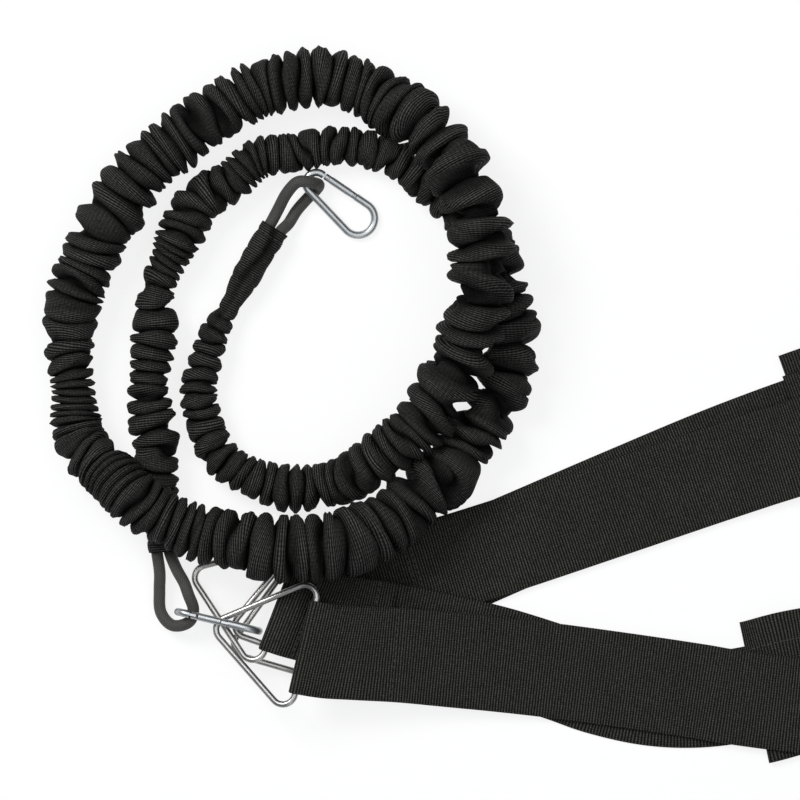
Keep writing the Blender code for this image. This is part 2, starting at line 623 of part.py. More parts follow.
def snap_hook(number, small_bow, heading, roll, rise):
    frame = hook_frame(place(*small_bow), heading, roll, rise)
    gate_frame = frame @ gate_line
    pivot_frame = gate_frame @ Matrix.Translation((PIVOT_AT, 0, 0))
    body_name = f"hook_{number}_body"
    body = meshed(wire(body_name, [frame @ p for p in wire_path], [HOOK_WIRE_RADIUS] * len(wire_path),
                       finish(body_name, ZINC_COLOUR), sides=RING_SIDES, origin=frame))
    half_tab = TAB_THICKNESS / 2
    root = HOOK_WIRE_RADIUS / 2
    tabs = [
        block(f"{body_name}_tongue", gate_frame,
              (LATCH_AT - 2 * NOTCH_RADIUS, -TAB_HALF_HEIGHT, -half_tab),
              (GATE_END + GAP + root, TAB_HALF_HEIGHT, half_tab)),
        block(f"{body_name}_tab", gate_frame, (BODY_END - root, -TAB_HALF_HEIGHT, -half_tab),
              (PIVOT_AT, TAB_HALF_HEIGHT, half_tab)),
        rod(f"{body_name}_knuckle", pivot_frame, (0, 0, -half_tab), (0, 0, half_tab), TAB_HALF_HEIGHT),
    ]
    for tab in tabs:
        combine(body, tab, "UNION")
    holes = [
        rod(f"{body_name}_pin_hole", pivot_frame, (0, 0, -SLOT_WIDTH), (0, 0, SLOT_WIDTH), PIN_HOLE_RADIUS),
        block(f"{body_name}_notch", gate_frame, (LATCH_AT - NOTCH_RADIUS, -SLOT_WIDTH, -SLOT_WIDTH),
              (LATCH_AT + NOTCH_RADIUS, NOTCH_RADIUS, SLOT_WIDTH)),
    ]
    for hole in holes:
        combine(body, hole, "DIFFERENCE")

    gate_name = f"hook_{number}_gate"
    gate = rod(gate_name, gate_frame, (GATE_START, 0, 0), (GATE_END, 0, 0), HOOK_WIRE_RADIUS, home=parts,
               material=finish(gate_name, ZINC_COLOUR), origin=pivot_frame)
    half_slot = SLOT_WIDTH / 2
    wide = 2 * HOOK_WIRE_RADIUS
    slot_end = PIVOT_AT + TAB_HALF_HEIGHT + 2 * GAP
    cuts = [
        block(f"{gate_name}_pivot_slot", gate_frame, (0, -wide, -half_slot), (slot_end, wide, half_slot)),
        block(f"{gate_name}_nose_slot", gate_frame, (LATCH_AT - 2 * NOTCH_RADIUS - 2 * GAP, -wide, -half_slot),
              (GATE_END + wide, wide, half_slot)),
        rod(f"{gate_name}_spring_bore", gate_frame, (slot_end - GAP, 0, 0),
            (slot_end + SPRING_LENGTH + PLUNGER_LENGTH, 0, 0), SPRING_BORE),
    ]
    for name, at in (("pivot", PIVOT_AT), ("latch", LATCH_AT)):
        cuts.append(rod(f"{gate_name}_{name}_hole", gate_frame, (at, 0, -wide), (at, 0, wide), PIN_HOLE_RADIUS))
        pin_name = f"hook_{number}_{name}_pin"
        half_pin = HOOK_WIRE_RADIUS - GAP / 2
        rod(pin_name, gate_frame, (at, 0, -half_pin), (at, 0, half_pin), PIN_RADIUS, home=parts,
            material=finish(pin_name, ZINC_COLOUR), origin=gate_frame @ Matrix.Translation((at, 0, 0)))
    for cut in cuts:
        combine(gate, cut, "DIFFERENCE")

    plunger_name = f"hook_{number}_plunger"
    head = PIVOT_AT + TAB_HALF_HEIGHT + GAP
    plunger_radius = (SLOT_WIDTH - GAP) / 2
    rod(plunger_name, gate_frame, (head, 0, 0), (head + PLUNGER_LENGTH, 0, 0), plunger_radius, home=parts,
        material=finish(plunger_name, ZINC_COLOUR))
    spring_start = head + PLUNGER_LENGTH + GAP
    coil = []
    for k in range(SPRING_TURNS * SPRING_SIDES + 1):
        angle = math.tau * k / SPRING_SIDES
        run = spring_start + SPRING_WIRE + COIL_LENGTH * k / (SPRING_SIDES * SPRING_TURNS)
        spoke = Vector((0, math.cos(angle), math.sin(angle))) * SPRING_RADIUS
        coil.append(gate_frame @ (spoke + Vector((run, 0, 0))))
    spring_name = f"hook_{number}_spring"
    wire(spring_name, coil, [SPRING_WIRE] * len(coil), finish(spring_name, ZINC_COLOUR), sides=0)


snap_hook(1, HOOK_1_SMALL_BOW, *HOOK_1_ANGLES)
snap_hook(2, HOOK_2_SMALL_BOW, *HOOK_2_ANGLES)
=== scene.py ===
"""Looks of a resistance sprint trainer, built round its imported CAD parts: a sleeved elastic cord with a snap
hook at each end, and two webbing belts whose triangle rings hang on the second hook. Metres, Z up.

Places are given as in the part's own source: x, y and height in pixels of a picture taken from straight
above.
"""

import math

import bmesh
import bpy
import numpy as np
from mathutils import Matrix, Vector


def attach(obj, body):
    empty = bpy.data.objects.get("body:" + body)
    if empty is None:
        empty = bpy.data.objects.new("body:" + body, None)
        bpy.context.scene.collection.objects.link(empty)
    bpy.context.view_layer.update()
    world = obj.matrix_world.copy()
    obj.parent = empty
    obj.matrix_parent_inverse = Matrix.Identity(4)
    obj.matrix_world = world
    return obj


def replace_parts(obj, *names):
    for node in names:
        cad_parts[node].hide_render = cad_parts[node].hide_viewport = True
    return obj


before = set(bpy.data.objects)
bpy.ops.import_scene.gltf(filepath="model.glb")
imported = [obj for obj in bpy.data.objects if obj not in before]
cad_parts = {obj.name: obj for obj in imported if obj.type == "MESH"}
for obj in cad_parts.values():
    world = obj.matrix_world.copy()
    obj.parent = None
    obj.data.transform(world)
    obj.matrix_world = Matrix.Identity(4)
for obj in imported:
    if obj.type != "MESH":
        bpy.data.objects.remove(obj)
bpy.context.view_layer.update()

# Camera
# A long lens high above the floor, so that the picture's edges show as little of the sides as its middle.
# A pixel is 1/1.9 mm at the cord's usual height, because 95 pixels of webbing are 50 mm.

MILLIMETRE = 0.001
PIXELS_PER_MILLIMETRE = 1.9
PIXEL = MILLIMETRE / PIXELS_PER_MILLIMETRE
ORIGIN_X = 664.3
ORIGIN_Y = 474.9
PICTURE_SIDE = 800
CAMERA_HEIGHT = 6.0
USUAL_HEIGHT = 0.015
SENSOR_SIDE = 0.036


def place(x, y, height):
    """The point in metres for a place in the picture."""
    return Vector(((x - ORIGIN_X) * PIXEL, (ORIGIN_Y - y) * PIXEL, height * PIXEL))


def add_object(name, data):
    """A new object in the scene."""
    made = bpy.data.objects.new(name, data)
    bpy.context.scene.collection.objects.link(made)
    return made


camera = add_object("camera", bpy.data.cameras.new("camera"))
camera.location = place(PICTURE_SIDE / 2, PICTURE_SIDE / 2, CAMERA_HEIGHT / PIXEL)
camera.data.sensor_width = SENSOR_SIDE / MILLIMETRE
camera.data.lens = camera.data.sensor_width * (CAMERA_HEIGHT - USUAL_HEIGHT) / (PICTURE_SIDE * PIXEL)
bpy.context.scene.camera = camera


# Floor, world and lamps
# A white table top that keeps a soft shadow, under a strong lamp at the upper left, a broad one overhead and
# a weak one in front. What the camera and polished metal see of the floor is lifted to white.

FLOOR_SIDE = 4.0
FLOOR_COLOUR = (0.86, 0.86, 0.86, 1)
FLOOR_ROUGHNESS = 0.9
FLOOR_LIFT = 0.82
WHITE = (1, 1, 1, 1)
SKY_COLOUR = (0.82, 0.9, 1.0, 1)
SKY_STRENGTH = 0.18

# Each lamp's name, place, side of its square and power in watts
LAMPS = [
    ("upper left", (-1.25, 1.0, 1.7), 0.9, 42),
    ("overhead", (0.3, 0.1, 2.4), 2.4, 30),
    ("front", (0.4, -1.7, 1.2), 0.8, 6),
]


class Number:
    """A value that changes over a surface. Python's operators on it add Math nodes."""

    def __init__(self, look, socket):
        self.look = look
        self.socket = socket

    def maths(self, operation, *others):
        """The result of one Math node on this value and any others."""
        return self.look.node("ShaderNodeMath", {"operation": operation}, dict(enumerate([self, *others])))

    def __add__(self, other):
        return self.maths("ADD", other)

    def __mul__(self, other):
        return self.maths("MULTIPLY", other)

    def __sub__(self, other):
        return self.maths("SUBTRACT", other)

    def __rsub__(self, other):
        return self * -1 + other

    def __truediv__(self, other):
        return self.maths("DIVIDE", other)

    def __pow__(self, other):
        return self.maths("POWER", other)

    __radd__ = __add__
    __rmul__ = __mul__

    def wave(self, pitch):
        """A round wave from 0 to 1 that repeats every pitch."""
        return (self * (math.tau / pitch)).maths("SINE") * 0.5 + 0.5

    def larger(self, other):
        return self.maths("MAXIMUM", other)

    def between(self, low, high):
        """0 at low and 1 at high, held at both."""
        return self.look.node("ShaderNodeMapRange", {"clamp": True}, {"Value": self, 1: low, 2: high})


class Look:
    """A material, or the world, and the nodes that make it."""

    def __init__(self, name, world=False):
        self.made = (bpy.data.worlds if world else bpy.data.materials).new(name)
        self.made.use_nodes = True
        self.tree = self.made.node_tree
        self.shader = self.tree.nodes.get("Principled BSDF") or self.tree.nodes.get("Background")

    def node(self, kind, settings, inputs, output=0):
        """Adds a node, sets it, then gives its inputs their values or links. Returns one of its outputs."""
        made = self.tree.nodes.new(kind)
        for name, value in settings.items():
            setattr(made, name, value)
        for name, value in inputs.items():
            self.give(made.inputs[name], value)
        return Number(self, made.outputs[output])

    def give(self, socket, value):
        """Links a changing value to a socket, or sets a plain one there."""
        if isinstance(value, Number):
            self.tree.links.new(value.socket, socket)
        else:
            socket.default_value = value

    def set(self, **values):
        """Sets the shader's sockets, written with _ for a space."""
        for name, value in values.items():
            self.give(self.shader.inputs[name.replace("_", " ")], value)

    def uv(self, axis):
        """One axis of the piece's own UV map, which is in metres on the surface."""
        uv = self.node("ShaderNodeUVMap", {}, {})
        return self.node("ShaderNodeSeparateXYZ", {}, {0: uv}, axis)

    def noise(self, size, detail=2):
        """Noise from 0 to 1 whose blots are about as large as size, in metres."""
        where = self.node("ShaderNodeTexCoord", {}, {}, "Object")
        return self.node("ShaderNodeTexNoise", {}, {"Vector": where, "Scale": 1 / size, "Detail": detail})

    def mixed(self, share, low, high):
        """Colour low where share is 0 and colour high where it is 1."""
        return self.node("ShaderNodeMix", {"data_type": "RGBA"}, {0: share, 6: low, 7: high}, 2)

    def bump(self, height, depth):
        """A normal from a height of 0 to 1 that stands for depth, in metres."""
        return self.node("ShaderNodeBump", {}, {"Height": height, "Distance": depth, "Strength": 1.0})


floor_look = Look("floor")
floor_look.set(Base_Color=FLOOR_COLOUR, Roughness=FLOOR_ROUGHNESS, Specular_IOR_Level=0.0)
rays = [floor_look.node("ShaderNodeLightPath", {}, {}, f"Is {kind} Ray")
        for kind in ("Camera", "Glossy", "Transmission")]
lift = rays[0].larger(rays[1]).larger(rays[2]) * FLOOR_LIFT
plain = Number(floor_look, floor_look.shader.outputs[0])
white = floor_look.node("ShaderNodeEmission", {}, {"Color": WHITE, "Strength": 1.0})
lifted = floor_look.node("ShaderNodeMixShader", {}, {0: lift, 1: plain, 2: white})
floor_look.give(floor_look.tree.nodes["Material Output"].inputs[0], lifted)

floor_mesh = bpy.data.meshes.new("floor")
half = FLOOR_SIDE / 2
floor_mesh.from_pydata([(-half, -half, 0), (half, -half, 0), (half, half, 0), (-half, half, 0)], [],
                       [(0, 1, 2, 3)])
floor_mesh.materials.append(floor_look.made)
add_object("floor", floor_mesh)

sky = Look("sky", world=True)
sky.set(Color=SKY_COLOUR, Strength=SKY_STRENGTH)
bpy.context.scene.world = sky.made
bpy.context.scene.view_settings.view_transform = "Standard"

for name, spot, side, power in LAMPS:
    lamp = add_object(name, bpy.data.lights.new(name, "AREA"))
    lamp.data.size = side
    lamp.data.energy = power
    lamp.location = spot
    lamp.rotation_euler = Vector(spot).to_track_quat("Z", "Y").to_euler()


# Gathered sleeve
# A tube of ribbed webbing, longer than the cord inside it, so that it bunches into cross folds along its
# whole length and only lies smooth near its two mouths. Its cut ends are turned in.

# The middle of the sleeve at places along it, and how wide it is there, in pixels
SLEEVE_ROUTE = [
    (163, 552, 18.1, 30), (161, 526, 18.7, 31), (158, 500, 19.8, 36), (154, 430, 22.3, 43),
    (148, 385, 21.5, 36), (154, 340, 21.1, 41), (155, 295, 20.4, 34), (168, 261, 20.9, 34),
    (183, 230, 22.3, 42), (200, 200, 22.5, 43), (231, 181, 21.5, 38), (259, 157, 19.6, 36),
    (295, 153, 18.9, 36), (330, 146, 18.7, 35), (367, 149, 18.7, 34), (402, 162, 19.8, 36),
    (440, 192, 21.7, 40), (480, 232, 24.0, 44), (499, 276, 25.9, 48), (507, 321, 26.8, 52),
    (510, 360, 26.8, 52), (501, 386, 26.8, 51), (476, 431, 28.2, 53), (460, 453, 29.1, 54),
    (443, 476, 35.2, 56), (423, 490, 41.5, 57), (398, 515, 50.8, 58), (350, 541, 65.6, 62),
    (315, 547, 70.5, 62), (280, 549, 71.1, 62), (241, 540, 67.1, 56), (200, 533, 62.2, 50),
    (163, 517, 62.9, 50), (133, 496, 62.4, 52), (105, 469, 48.3, 48), (80, 440, 28.0, 48),
    (73, 391, 23.6, 40), (68, 340, 24.8, 45), (78, 287, 27.2, 52), (100, 234, 28.7, 54),
    (124, 193, 29.1, 57), (157, 157, 28.4, 53), (195, 128, 27.2, 53), (232, 101, 27.2, 52),
    (275, 85, 27.2, 53), (320, 77, 27.2, 53), (361, 88, 27.2, 52), (396, 106, 36.9, 53),
    (424, 126, 52.9, 53), (447, 153, 64.6, 57), (465, 186, 73.4, 57), (479, 220, 76.4, 57),
    (481, 276, 77.2, 58), (474, 321, 75.7, 58), (459, 363, 64.6, 57), (444, 392, 57.8, 56),
    (422, 424, 55.7, 52), (386, 452, 54.2, 48), (350, 477, 30.3, 44), (318, 487, 22.7, 40),
    (285, 488, 21.7, 42), (252, 478, 20.8, 36), (227, 462, 19.4, 36), (209, 438, 18.5, 34),
    (201, 409, 17.9, 33), (199, 381, 17.3, 33), (206, 355, 17.0, 30), (215, 332, 16.4, 28),
    (229, 307, 15.8, 29), (243, 282, 15.6, 30), (258, 255, 15.6, 29), (275, 228, 15.4, 29),
]

SLEEVE_SPACING = 0.00066
SLEEVE_SIDES = 40
ROUTE_SAMPLES = 8
MOUTH_RADIUS = 0.0077
MOUTH_INNER_RADIUS = 0.0071
MOUTH_LENGTH = 0.034
MOUTH_TAPER = 0.022
TUCK_LENGTH = 0.024
TUCK_ROWS = 8
TUCK_END_RADIUS = 0.0042
FLOOR_CLEARANCE = 0.0003
MOST_REACH = 0.0185

SMOOTH_AT_BELTS = 0.012
SMOOTH_AT_INNER_END = 0.042
GATHER_FADE = 0.034
LEAST_GATHERED = 0.06
BUNCHED_FROM = -0.139
BUNCHED_RUN = 0.030
GATHER_PITCH = 0.0080
TIGHTEST_PITCH = 0.5 * GATHER_PITCH
GATHER_DEPTH = 0.0105
DEEPEST_SHARE = 0.72
DEPTH_RANGE = (0.3, 1.6)
LEVEL_DEPTH = 0.86
SIDE_DEPTH = 0.14
BUNCHED_SIDE_DEPTH = 0.3
FOLD_SHARPNESS = 0.6
BUNCHED_SHARPNESS = 0.35
BUNCHED_SIDE_SHARPNESS = 0.4
FOLD_MIDDLE = 0.8
SMALL_FOLDS_PER_FOLD = 2.3
SMALL_FOLD_SHARPNESS = 0.9
SMALL_FOLD_DEPTH = 0.16
BUNCHED_SMALL_FOLD_DEPTH = 0.12
SMALL_FOLD_MIDDLE = 0.6
OVERHANG = 0.1

# How uneven each thing is: its amount, its reach along the sleeve in metres, its turns round it, its seed
PITCH_DRIFT = (0.18, 0.3, 0, 1)
PITCH_CHANGE = (0.34, 0.05, 0, 8)
FOLD_DRIFT = (0.24, 0.045, 1, 2)
FOLD_CHANGE = (0.12, 0.016, 2, 3)
SMALL_FOLD_CHANGE = (0.5, 0.03, 2, 4)
DEPTH_CHANGE = (0.4, 0.03, 2, 5)
GIRTH_CHANGE = (0.05, 0.05, 1, 6)
LEAN_CHANGE = (0.0028, 0.04, 1, 7)
CREASE_DRIFT = (0.5, 0.05, 0, 9)
UNEVEN_WAVES = 7

CREASE_DEPTH = 0.0022
CREASE_HALF_WIDTH = 0.38
CREASE_SHADE = 0.5
WAIST_AT = 0.047
WAIST_RUN = 0.012
WAIST_SHARE = 0.32
CREASE_LOSS_AT_WAIST = 0.5

SLEEVE_RIB_PITCH = 0.00125
SLEEVE_YARN_PITCH = 0.0011
SLEEVE_RELIEF = 0.00045
# Fold heights between which the painted shade of the sleeve's folds goes from dark to none
SLEEVE_SHADED = (0.4, 1.0)
# The sleeve's colours between the ribs and on them: painted shade in the grooves, painted light on the rib
# crests
FABRIC_DARK = (0.001, 0.001, 0.001, 1)
FABRIC_LIGHT = (0.094, 0.094, 0.087, 1)
FABRIC_FULL_LIGHT = 1.3
FABRIC_ROUGHNESS = 0.78
FABRIC_SPECULAR = 0.07
RIB_SHARPNESS = 1.3
RIB_POLISH = 0.18
RIB_WANDER = 0.0004
RIB_WANDER_SIZE = 0.006
BLOT_SIZE = 0.02
BLOT_STRENGTH = 0.35
FLECK_SIZE = 0.0011
FLECK_RANGE = (0.3, 0.7)
FLECK_STRENGTH = 0.9
# How much of its colour the painted shade leaves in the deepest valley, and how sharply it falls off
PAINTED_SHADE_VALLEY_LEVEL = 0.1
VALLEY_SHARPNESS = 1.4


def smooth(rows, samples):
    """A smooth curve through every row of a table, as many numbers wide as the table."""
    table = np.array(rows, float)
    table = np.vstack([2 * table[0] - table[1], table, 2 * table[-1] - table[-2]])
    steps = np.arange(samples) / samples
    curve = []
    for before, start, end, after in zip(table, table[1:], table[2:], table[3:]):
        for t in steps:
            curve.append((2 * start + (end - before) * t
                          + (2 * before - 5 * start + 4 * end - after) * t * t
                          + (3 * start - before - 3 * end + after) * t ** 3) / 2)
    return np.array(curve + [table[-2]])


def lengths_along(points):
    """Each point's distance along the path through them all."""
    steps = np.linalg.norm(np.diff(points[:, :3], axis=0), axis=1)
    return np.concatenate([[0], np.cumsum(steps)])


def read_at(curve, along, wanted):
    """A curve's rows at the wanted distances along it."""
    return np.stack([np.interp(wanted, along, curve[:, k]) for k in range(curve.shape[1])], axis=1)


def spaced(curve, spacing):
    """The same curve with its rows an even distance apart, and each row's place along it."""
    along = lengths_along(curve)
    wanted = np.linspace(0, along[-1], max(3, int(along[-1] / spacing)))
    return read_at(curve, along, wanted), wanted


def ease(value):
    """0 up to 0 and 1 from 1, with a smooth rise between them."""
    value = np.clip(value, 0, 1)
    return value * value * (3 - 2 * value)


def unit(vectors):
    """The same vectors at length 1."""
    return vectors / np.linalg.norm(vectors, axis=-1, keepdims=True)


def directions(points):
    """Along, level across and upward unit vectors at each point of a path."""
    ahead = unit(np.gradient(points, axis=0))
    across = unit(np.stack([-ahead[:, 1], ahead[:, 0], 0 * ahead[:, 0]], axis=1))
    return ahead, across, np.cross(ahead, across)


def uneven(along, angle, amount, reach, turns, seed):
    """A smooth value, mostly within its amount either way, along the sleeve and round it."""
    draw = np.random.default_rng(seed)
    value = 0
    for _ in range(UNEVEN_WAVES):
        pace = draw.uniform(0.5, 1.5) * math.tau / reach
        value = value + np.cos(pace * along + draw.integers(-turns, turns + 1) * angle
                               + draw.uniform(0, math.tau))
    return amount * (value / math.sqrt(UNEVEN_WAVES))


def tube_faces(count, sides, round_closed=False):
    """The faces of a tube through rings of points, which ends in two caps or runs round into itself."""
    faces = []
    for row in range(count if round_closed else count - 1):
        on = (row + 1) % count
        for side in range(sides):
            after = (side + 1) % sides
            faces.append((row * sides + side, row * sides + after, on * sides + after, on * sides + side))
    if not round_closed:
        faces += [tuple(reversed(range(sides))), tuple(range((count - 1) * sides, count * sides))]
    return faces


def add_piece(name, mesh, body):
    """A finished mesh as a piece that moves with a body."""
    made = add_object(name, mesh)
    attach(made, body)
    return made


def skin(name, rings, look, body, across_uv, along_uv, height=None):
    """A closed tube through rings of points, with a UV map in metres across and along it."""
    count, sides = rings.shape[:2]
    mesh = bpy.data.meshes.new(name)
    mesh.from_pydata(rings.reshape(-1, 3).tolist(), [], tube_faces(count, sides))
    row, side = (each.ravel() for each in np.indices((count - 1, sides)))
    cap = np.arange(sides)
    corner_rows = np.concatenate([np.stack([row, row, row + 1, row + 1], axis=1).ravel(),
                                  0 * cap, 0 * cap + count - 1])
    corner_sides = np.concatenate([np.stack([side, side + 1, side + 1, side], axis=1).ravel(),
                                   cap[::-1], cap])
    uv = np.stack([across_uv[corner_sides], along_uv[corner_rows]], axis=1)
    mesh.uv_layers.new(name="weave").data.foreach_set("uv", uv.astype(np.float32).ravel())
    # A fold height for each point, from which the material paints shade into the fold valleys
    if height is not None:
        standing = mesh.attributes.new("height", "FLOAT", "POINT")
        standing.data.foreach_set("value", height.astype(np.float32).ravel())
    mesh.shade_smooth()
    mesh.materials.append(look.made)
    return add_piece(name, mesh, body)


def ribbed(name, rib_pitch, yarn_pitch, dark, light, relief, shaded=None):
    """Ribbed webbing: ribs of yarn across the band, each crossed by the warp yarns that bind it.

    shaded gives the fold heights between which a painted shade goes from a fold's dark valley to its full
    light.
    """
    look = Look(name)
    rib = (look.uv(1) + look.noise(RIB_WANDER_SIZE) * RIB_WANDER).wave(rib_pitch)
    yarn = look.uv(0).wave(yarn_pitch)
    # Painted shade and light: the colour goes dark in the grooves of the rib and yarn pattern that the bump
    # raises, and light on its crests
    thread = rib ** RIB_SHARPNESS * (yarn * 0.5 + 0.5)
    fleck = look.noise(FLECK_SIZE, detail=3).between(*FLECK_RANGE) - 0.5
    tone_and_painted_shade = ((look.noise(BLOT_SIZE) - 0.5) * BLOT_STRENGTH + 1) * (fleck * FLECK_STRENGTH + 1)
    # Painted shade: darker towards the valleys of the folds and in the crease, where shade falls
    if shaded:
        height = look.node("ShaderNodeAttribute", {"attribute_name": "height"}, {}, "Fac")
        tone_and_painted_shade = tone_and_painted_shade * (height.between(*shaded) ** VALLEY_SHARPNESS * (1 - PAINTED_SHADE_VALLEY_LEVEL) + PAINTED_SHADE_VALLEY_LEVEL)
    look.set(
        Base_Color=look.mixed((thread * tone_and_painted_shade).between(0, FABRIC_FULL_LIGHT), dark, light),
        Roughness=rib * -RIB_POLISH + FABRIC_ROUGHNESS,
        Normal=look.bump(thread, relief),
        Specular_IOR_Level=FABRIC_SPECULAR,
    )
    return look


fabric = ribbed("gathered_webbing", SLEEVE_RIB_PITCH, SLEEVE_YARN_PITCH, FABRIC_DARK, FABRIC_LIGHT,
                SLEEVE_RELIEF, SLEEVE_SHADED)

# The sleeve's line, and how smooth, gathered or bunched it is at each place along it
route = smooth([(*place(x, y, z), width * PIXEL / 2) for x, y, z, width in SLEEVE_ROUTE], ROUTE_SAMPLES)
sleeve_line, sleeve_at = spaced(route, SLEEVE_SPACING)
sleeve_length = sleeve_at[-1]
from_mouth = np.minimum(sleeve_at, sleeve_length - sleeve_at)
doubled = 1 - ease((from_mouth - MOUTH_LENGTH + MOUTH_TAPER / 2) / MOUTH_TAPER)
radius = np.maximum(sleeve_line[:, 3], doubled * MOUTH_RADIUS)[:, None]
sleeve_ahead, sleeve_across, sleeve_up = directions(sleeve_line[:, :3])
angle = np.linspace(0, math.tau, SLEEVE_SIDES + 1)[None, :-1]
along = sleeve_at[:, None]
from_inner_end = sleeve_length - along
smooth_end = 1 - ease((from_inner_end - SMOOTH_AT_INNER_END) / GATHER_FADE)
gathered = ease((along - SMOOTH_AT_BELTS) / GATHER_FADE) * (1 - smooth_end)
gathered = gathered * (1 - LEAST_GATHERED) + LEAST_GATHERED
bunched = ease((sleeve_line[:, :1] - BUNCHED_FROM) / BUNCHED_RUN)

# The folds across it, counted along it, and the smaller folds between them
pitch = GATHER_PITCH * (1 + uneven(along, 0, *PITCH_DRIFT) + uneven(along, 0, *PITCH_CHANGE))
pitch = np.maximum(pitch, TIGHTEST_PITCH) * (1 + bunched)
folds = np.cumsum(np.gradient(sleeve_at)[:, None] / pitch, axis=0)
folds = folds + uneven(along, angle, *FOLD_DRIFT) + uneven(along, angle, *FOLD_CHANGE)
side_share = np.cos(angle) ** 2
sharpness = FOLD_SHARPNESS + bunched * (BUNCHED_SHARPNESS + BUNCHED_SIDE_SHARPNESS * side_share)
main_fold = np.abs(np.sin(math.pi * folds)) ** sharpness
small_folds = SMALL_FOLDS_PER_FOLD * folds + uneven(along, angle, *SMALL_FOLD_CHANGE)
small_fold = np.abs(np.sin(math.pi * small_folds)) ** SMALL_FOLD_SHARPNESS

# How far the fabric reaches from the line, with the crease and the waist at its inner end
depth_share = LEVEL_DEPTH + SIDE_DEPTH * np.cos(2 * angle) + BUNCHED_SIDE_DEPTH * bunched * side_share
depth_change = np.clip(1 + uneven(along, angle, *DEPTH_CHANGE), *DEPTH_RANGE)
depth = GATHER_DEPTH * gathered * depth_share * depth_change
depth = np.minimum(depth * np.sqrt(pitch / GATHER_PITCH), radius * DEEPEST_SHARE)
small_depth = (SMALL_FOLD_DEPTH + BUNCHED_SMALL_FOLD_DEPTH * bunched) * depth
reach = radius + depth * (main_fold - FOLD_MIDDLE) + small_depth * (small_fold - SMALL_FOLD_MIDDLE)
reach = np.minimum(reach * (1 + gathered * uneven(along, angle, *GIRTH_CHANGE)), MOST_REACH)
crease_angle = math.pi / 2 + uneven(along, 0, *CREASE_DRIFT)
waist = np.exp(-((from_inner_end - WAIST_AT) / WAIST_RUN) ** 2)
groove = CREASE_DEPTH * smooth_end * (1 - CREASE_LOSS_AT_WAIST * waist)
groove = groove * np.exp(-((angle - crease_angle) / CREASE_HALF_WIDTH) ** 2)
reach = reach * (1 - WAIST_SHARE * waist) - groove
slide = -OVERHANG * pitch * gathered * np.sin(math.tau * folds)
slide = slide + gathered * (main_fold - 0.5) * uneven(along, angle, *LEAN_CHANGE)
outward = (np.cos(angle)[..., None] * sleeve_across[:, None]
           + np.sin(angle)[..., None] * sleeve_up[:, None])
surface = (sleeve_line[:, None, :3] + outward * reach[..., None]
           + sleeve_ahead[:, None] * slide[..., None])
surface[..., 2] = np.maximum(surface[..., 2], FLOOR_CLEARANCE)


def tuck(rows, way):
    """The end of the sleeve turned back into itself, from its mouth inwards."""
    inside = []
    for depth_in in np.linspace(0, TUCK_LENGTH, TUCK_ROWS + 1)[1:]:
        row = np.argmin(np.abs(from_mouth[rows] - depth_in))
        inner = MOUTH_INNER_RADIUS + (TUCK_END_RADIUS - MOUTH_INNER_RADIUS) * ease(depth_in / TUCK_LENGTH)
        inner = inner - groove[rows][row][:, None]
        inside.append(sleeve_line[rows][row, None, :3] + outward[rows][row] * inner)
    return np.array(inside)[::way]


half_way = len(sleeve_at) // 2
rings = np.concatenate([tuck(slice(0, half_way), -1), surface, tuck(slice(half_way, None), 1)])
# How high each point stands in its fold, lowered along the crease; the material paints shade from it
fold_height = 1 - (1 - main_fold) * gathered - CREASE_SHADE * groove / CREASE_DEPTH
fold_height = np.pad(fold_height, ((TUCK_ROWS, TUCK_ROWS), (0, 0)))
ring_steps = np.linalg.norm(np.diff(rings, axis=0), axis=2).mean(axis=1)
fabric_length = np.concatenate([[0], np.cumsum(ring_steps)])
girth = np.linspace(0, math.tau * MOUTH_RADIUS, SLEEVE_SIDES + 1)
sleeve = skin("gathered_sleeve", rings, fabric, "cord_and_belts", girth, fabric_length,
              fold_height)
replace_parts(sleeve, "sleeve")


# Elastic core
# Rubber strands in a braided cover. At each end it turns back on itself into a loop for a snap hook, and a
# flattened band of zinc holds its two legs together just inside the sleeve's mouth.

# The middle of each bare loop, in pixels
LOOP_2_ROUTE = [
    (176.5, 569, 29), (184, 582.5, 30), (188.6, 595, 31.6), (193.4, 609.5, 27.5), (188.4, 622.5, 24),
    (172, 625.5, 16.4), (160.3, 612, 12.4), (159.2, 590, 14), (159.5, 572.7, 17.5),
]
LOOP_1_ROUTE = [
    (277.6, 210, 17.5), (286, 194.2, 25), (295.8, 183, 29.9), (304.2, 181.3, 31.1), (312.2, 182.5, 28.2),
    (318.6, 184.5, 17.4), (315.9, 189.4, 8.3), (308.2, 197, 6.4), (296.6, 210.2, 7.5), (288.5, 223.1, 9.7),
]

CORD_RADIUS = 0.00315
CORD_SIDES = 18
CORD_SPACING = 0.0011
CORD_SAMPLES = 6
LEG_OFFSET = 0.0033
LEG_STEP = 0.0055
MIDDLE_STEP = 0.02
TAIL_LENGTH = 0.022
CRIMP_MIDDLE = 0.01375
CRIMP_LENGTH = 0.0065
CRIMPED_RADIUS = 0.0026
CRIMPED_OFFSET = 0.0028
BRAID_CARRIERS = 16
BRAID_LAY = 0.0026
BRAID_RELIEF = 0.00015
# Colours in the hollows of the plait and on its crowns: painted shade and painted highlights
BRAID_DARK = (0.028, 0.028, 0.025, 1)
BRAID_LIGHT = (0.058, 0.057, 0.050, 1)
BRAID_FULL_LIGHT = 0.9
BRAID_ROUGHNESS = 0.72
BRAID_POLISH = 0.15
BRAID_BLOT_SIZE = 0.012
BRAID_BLOT_STRENGTH = 0.4


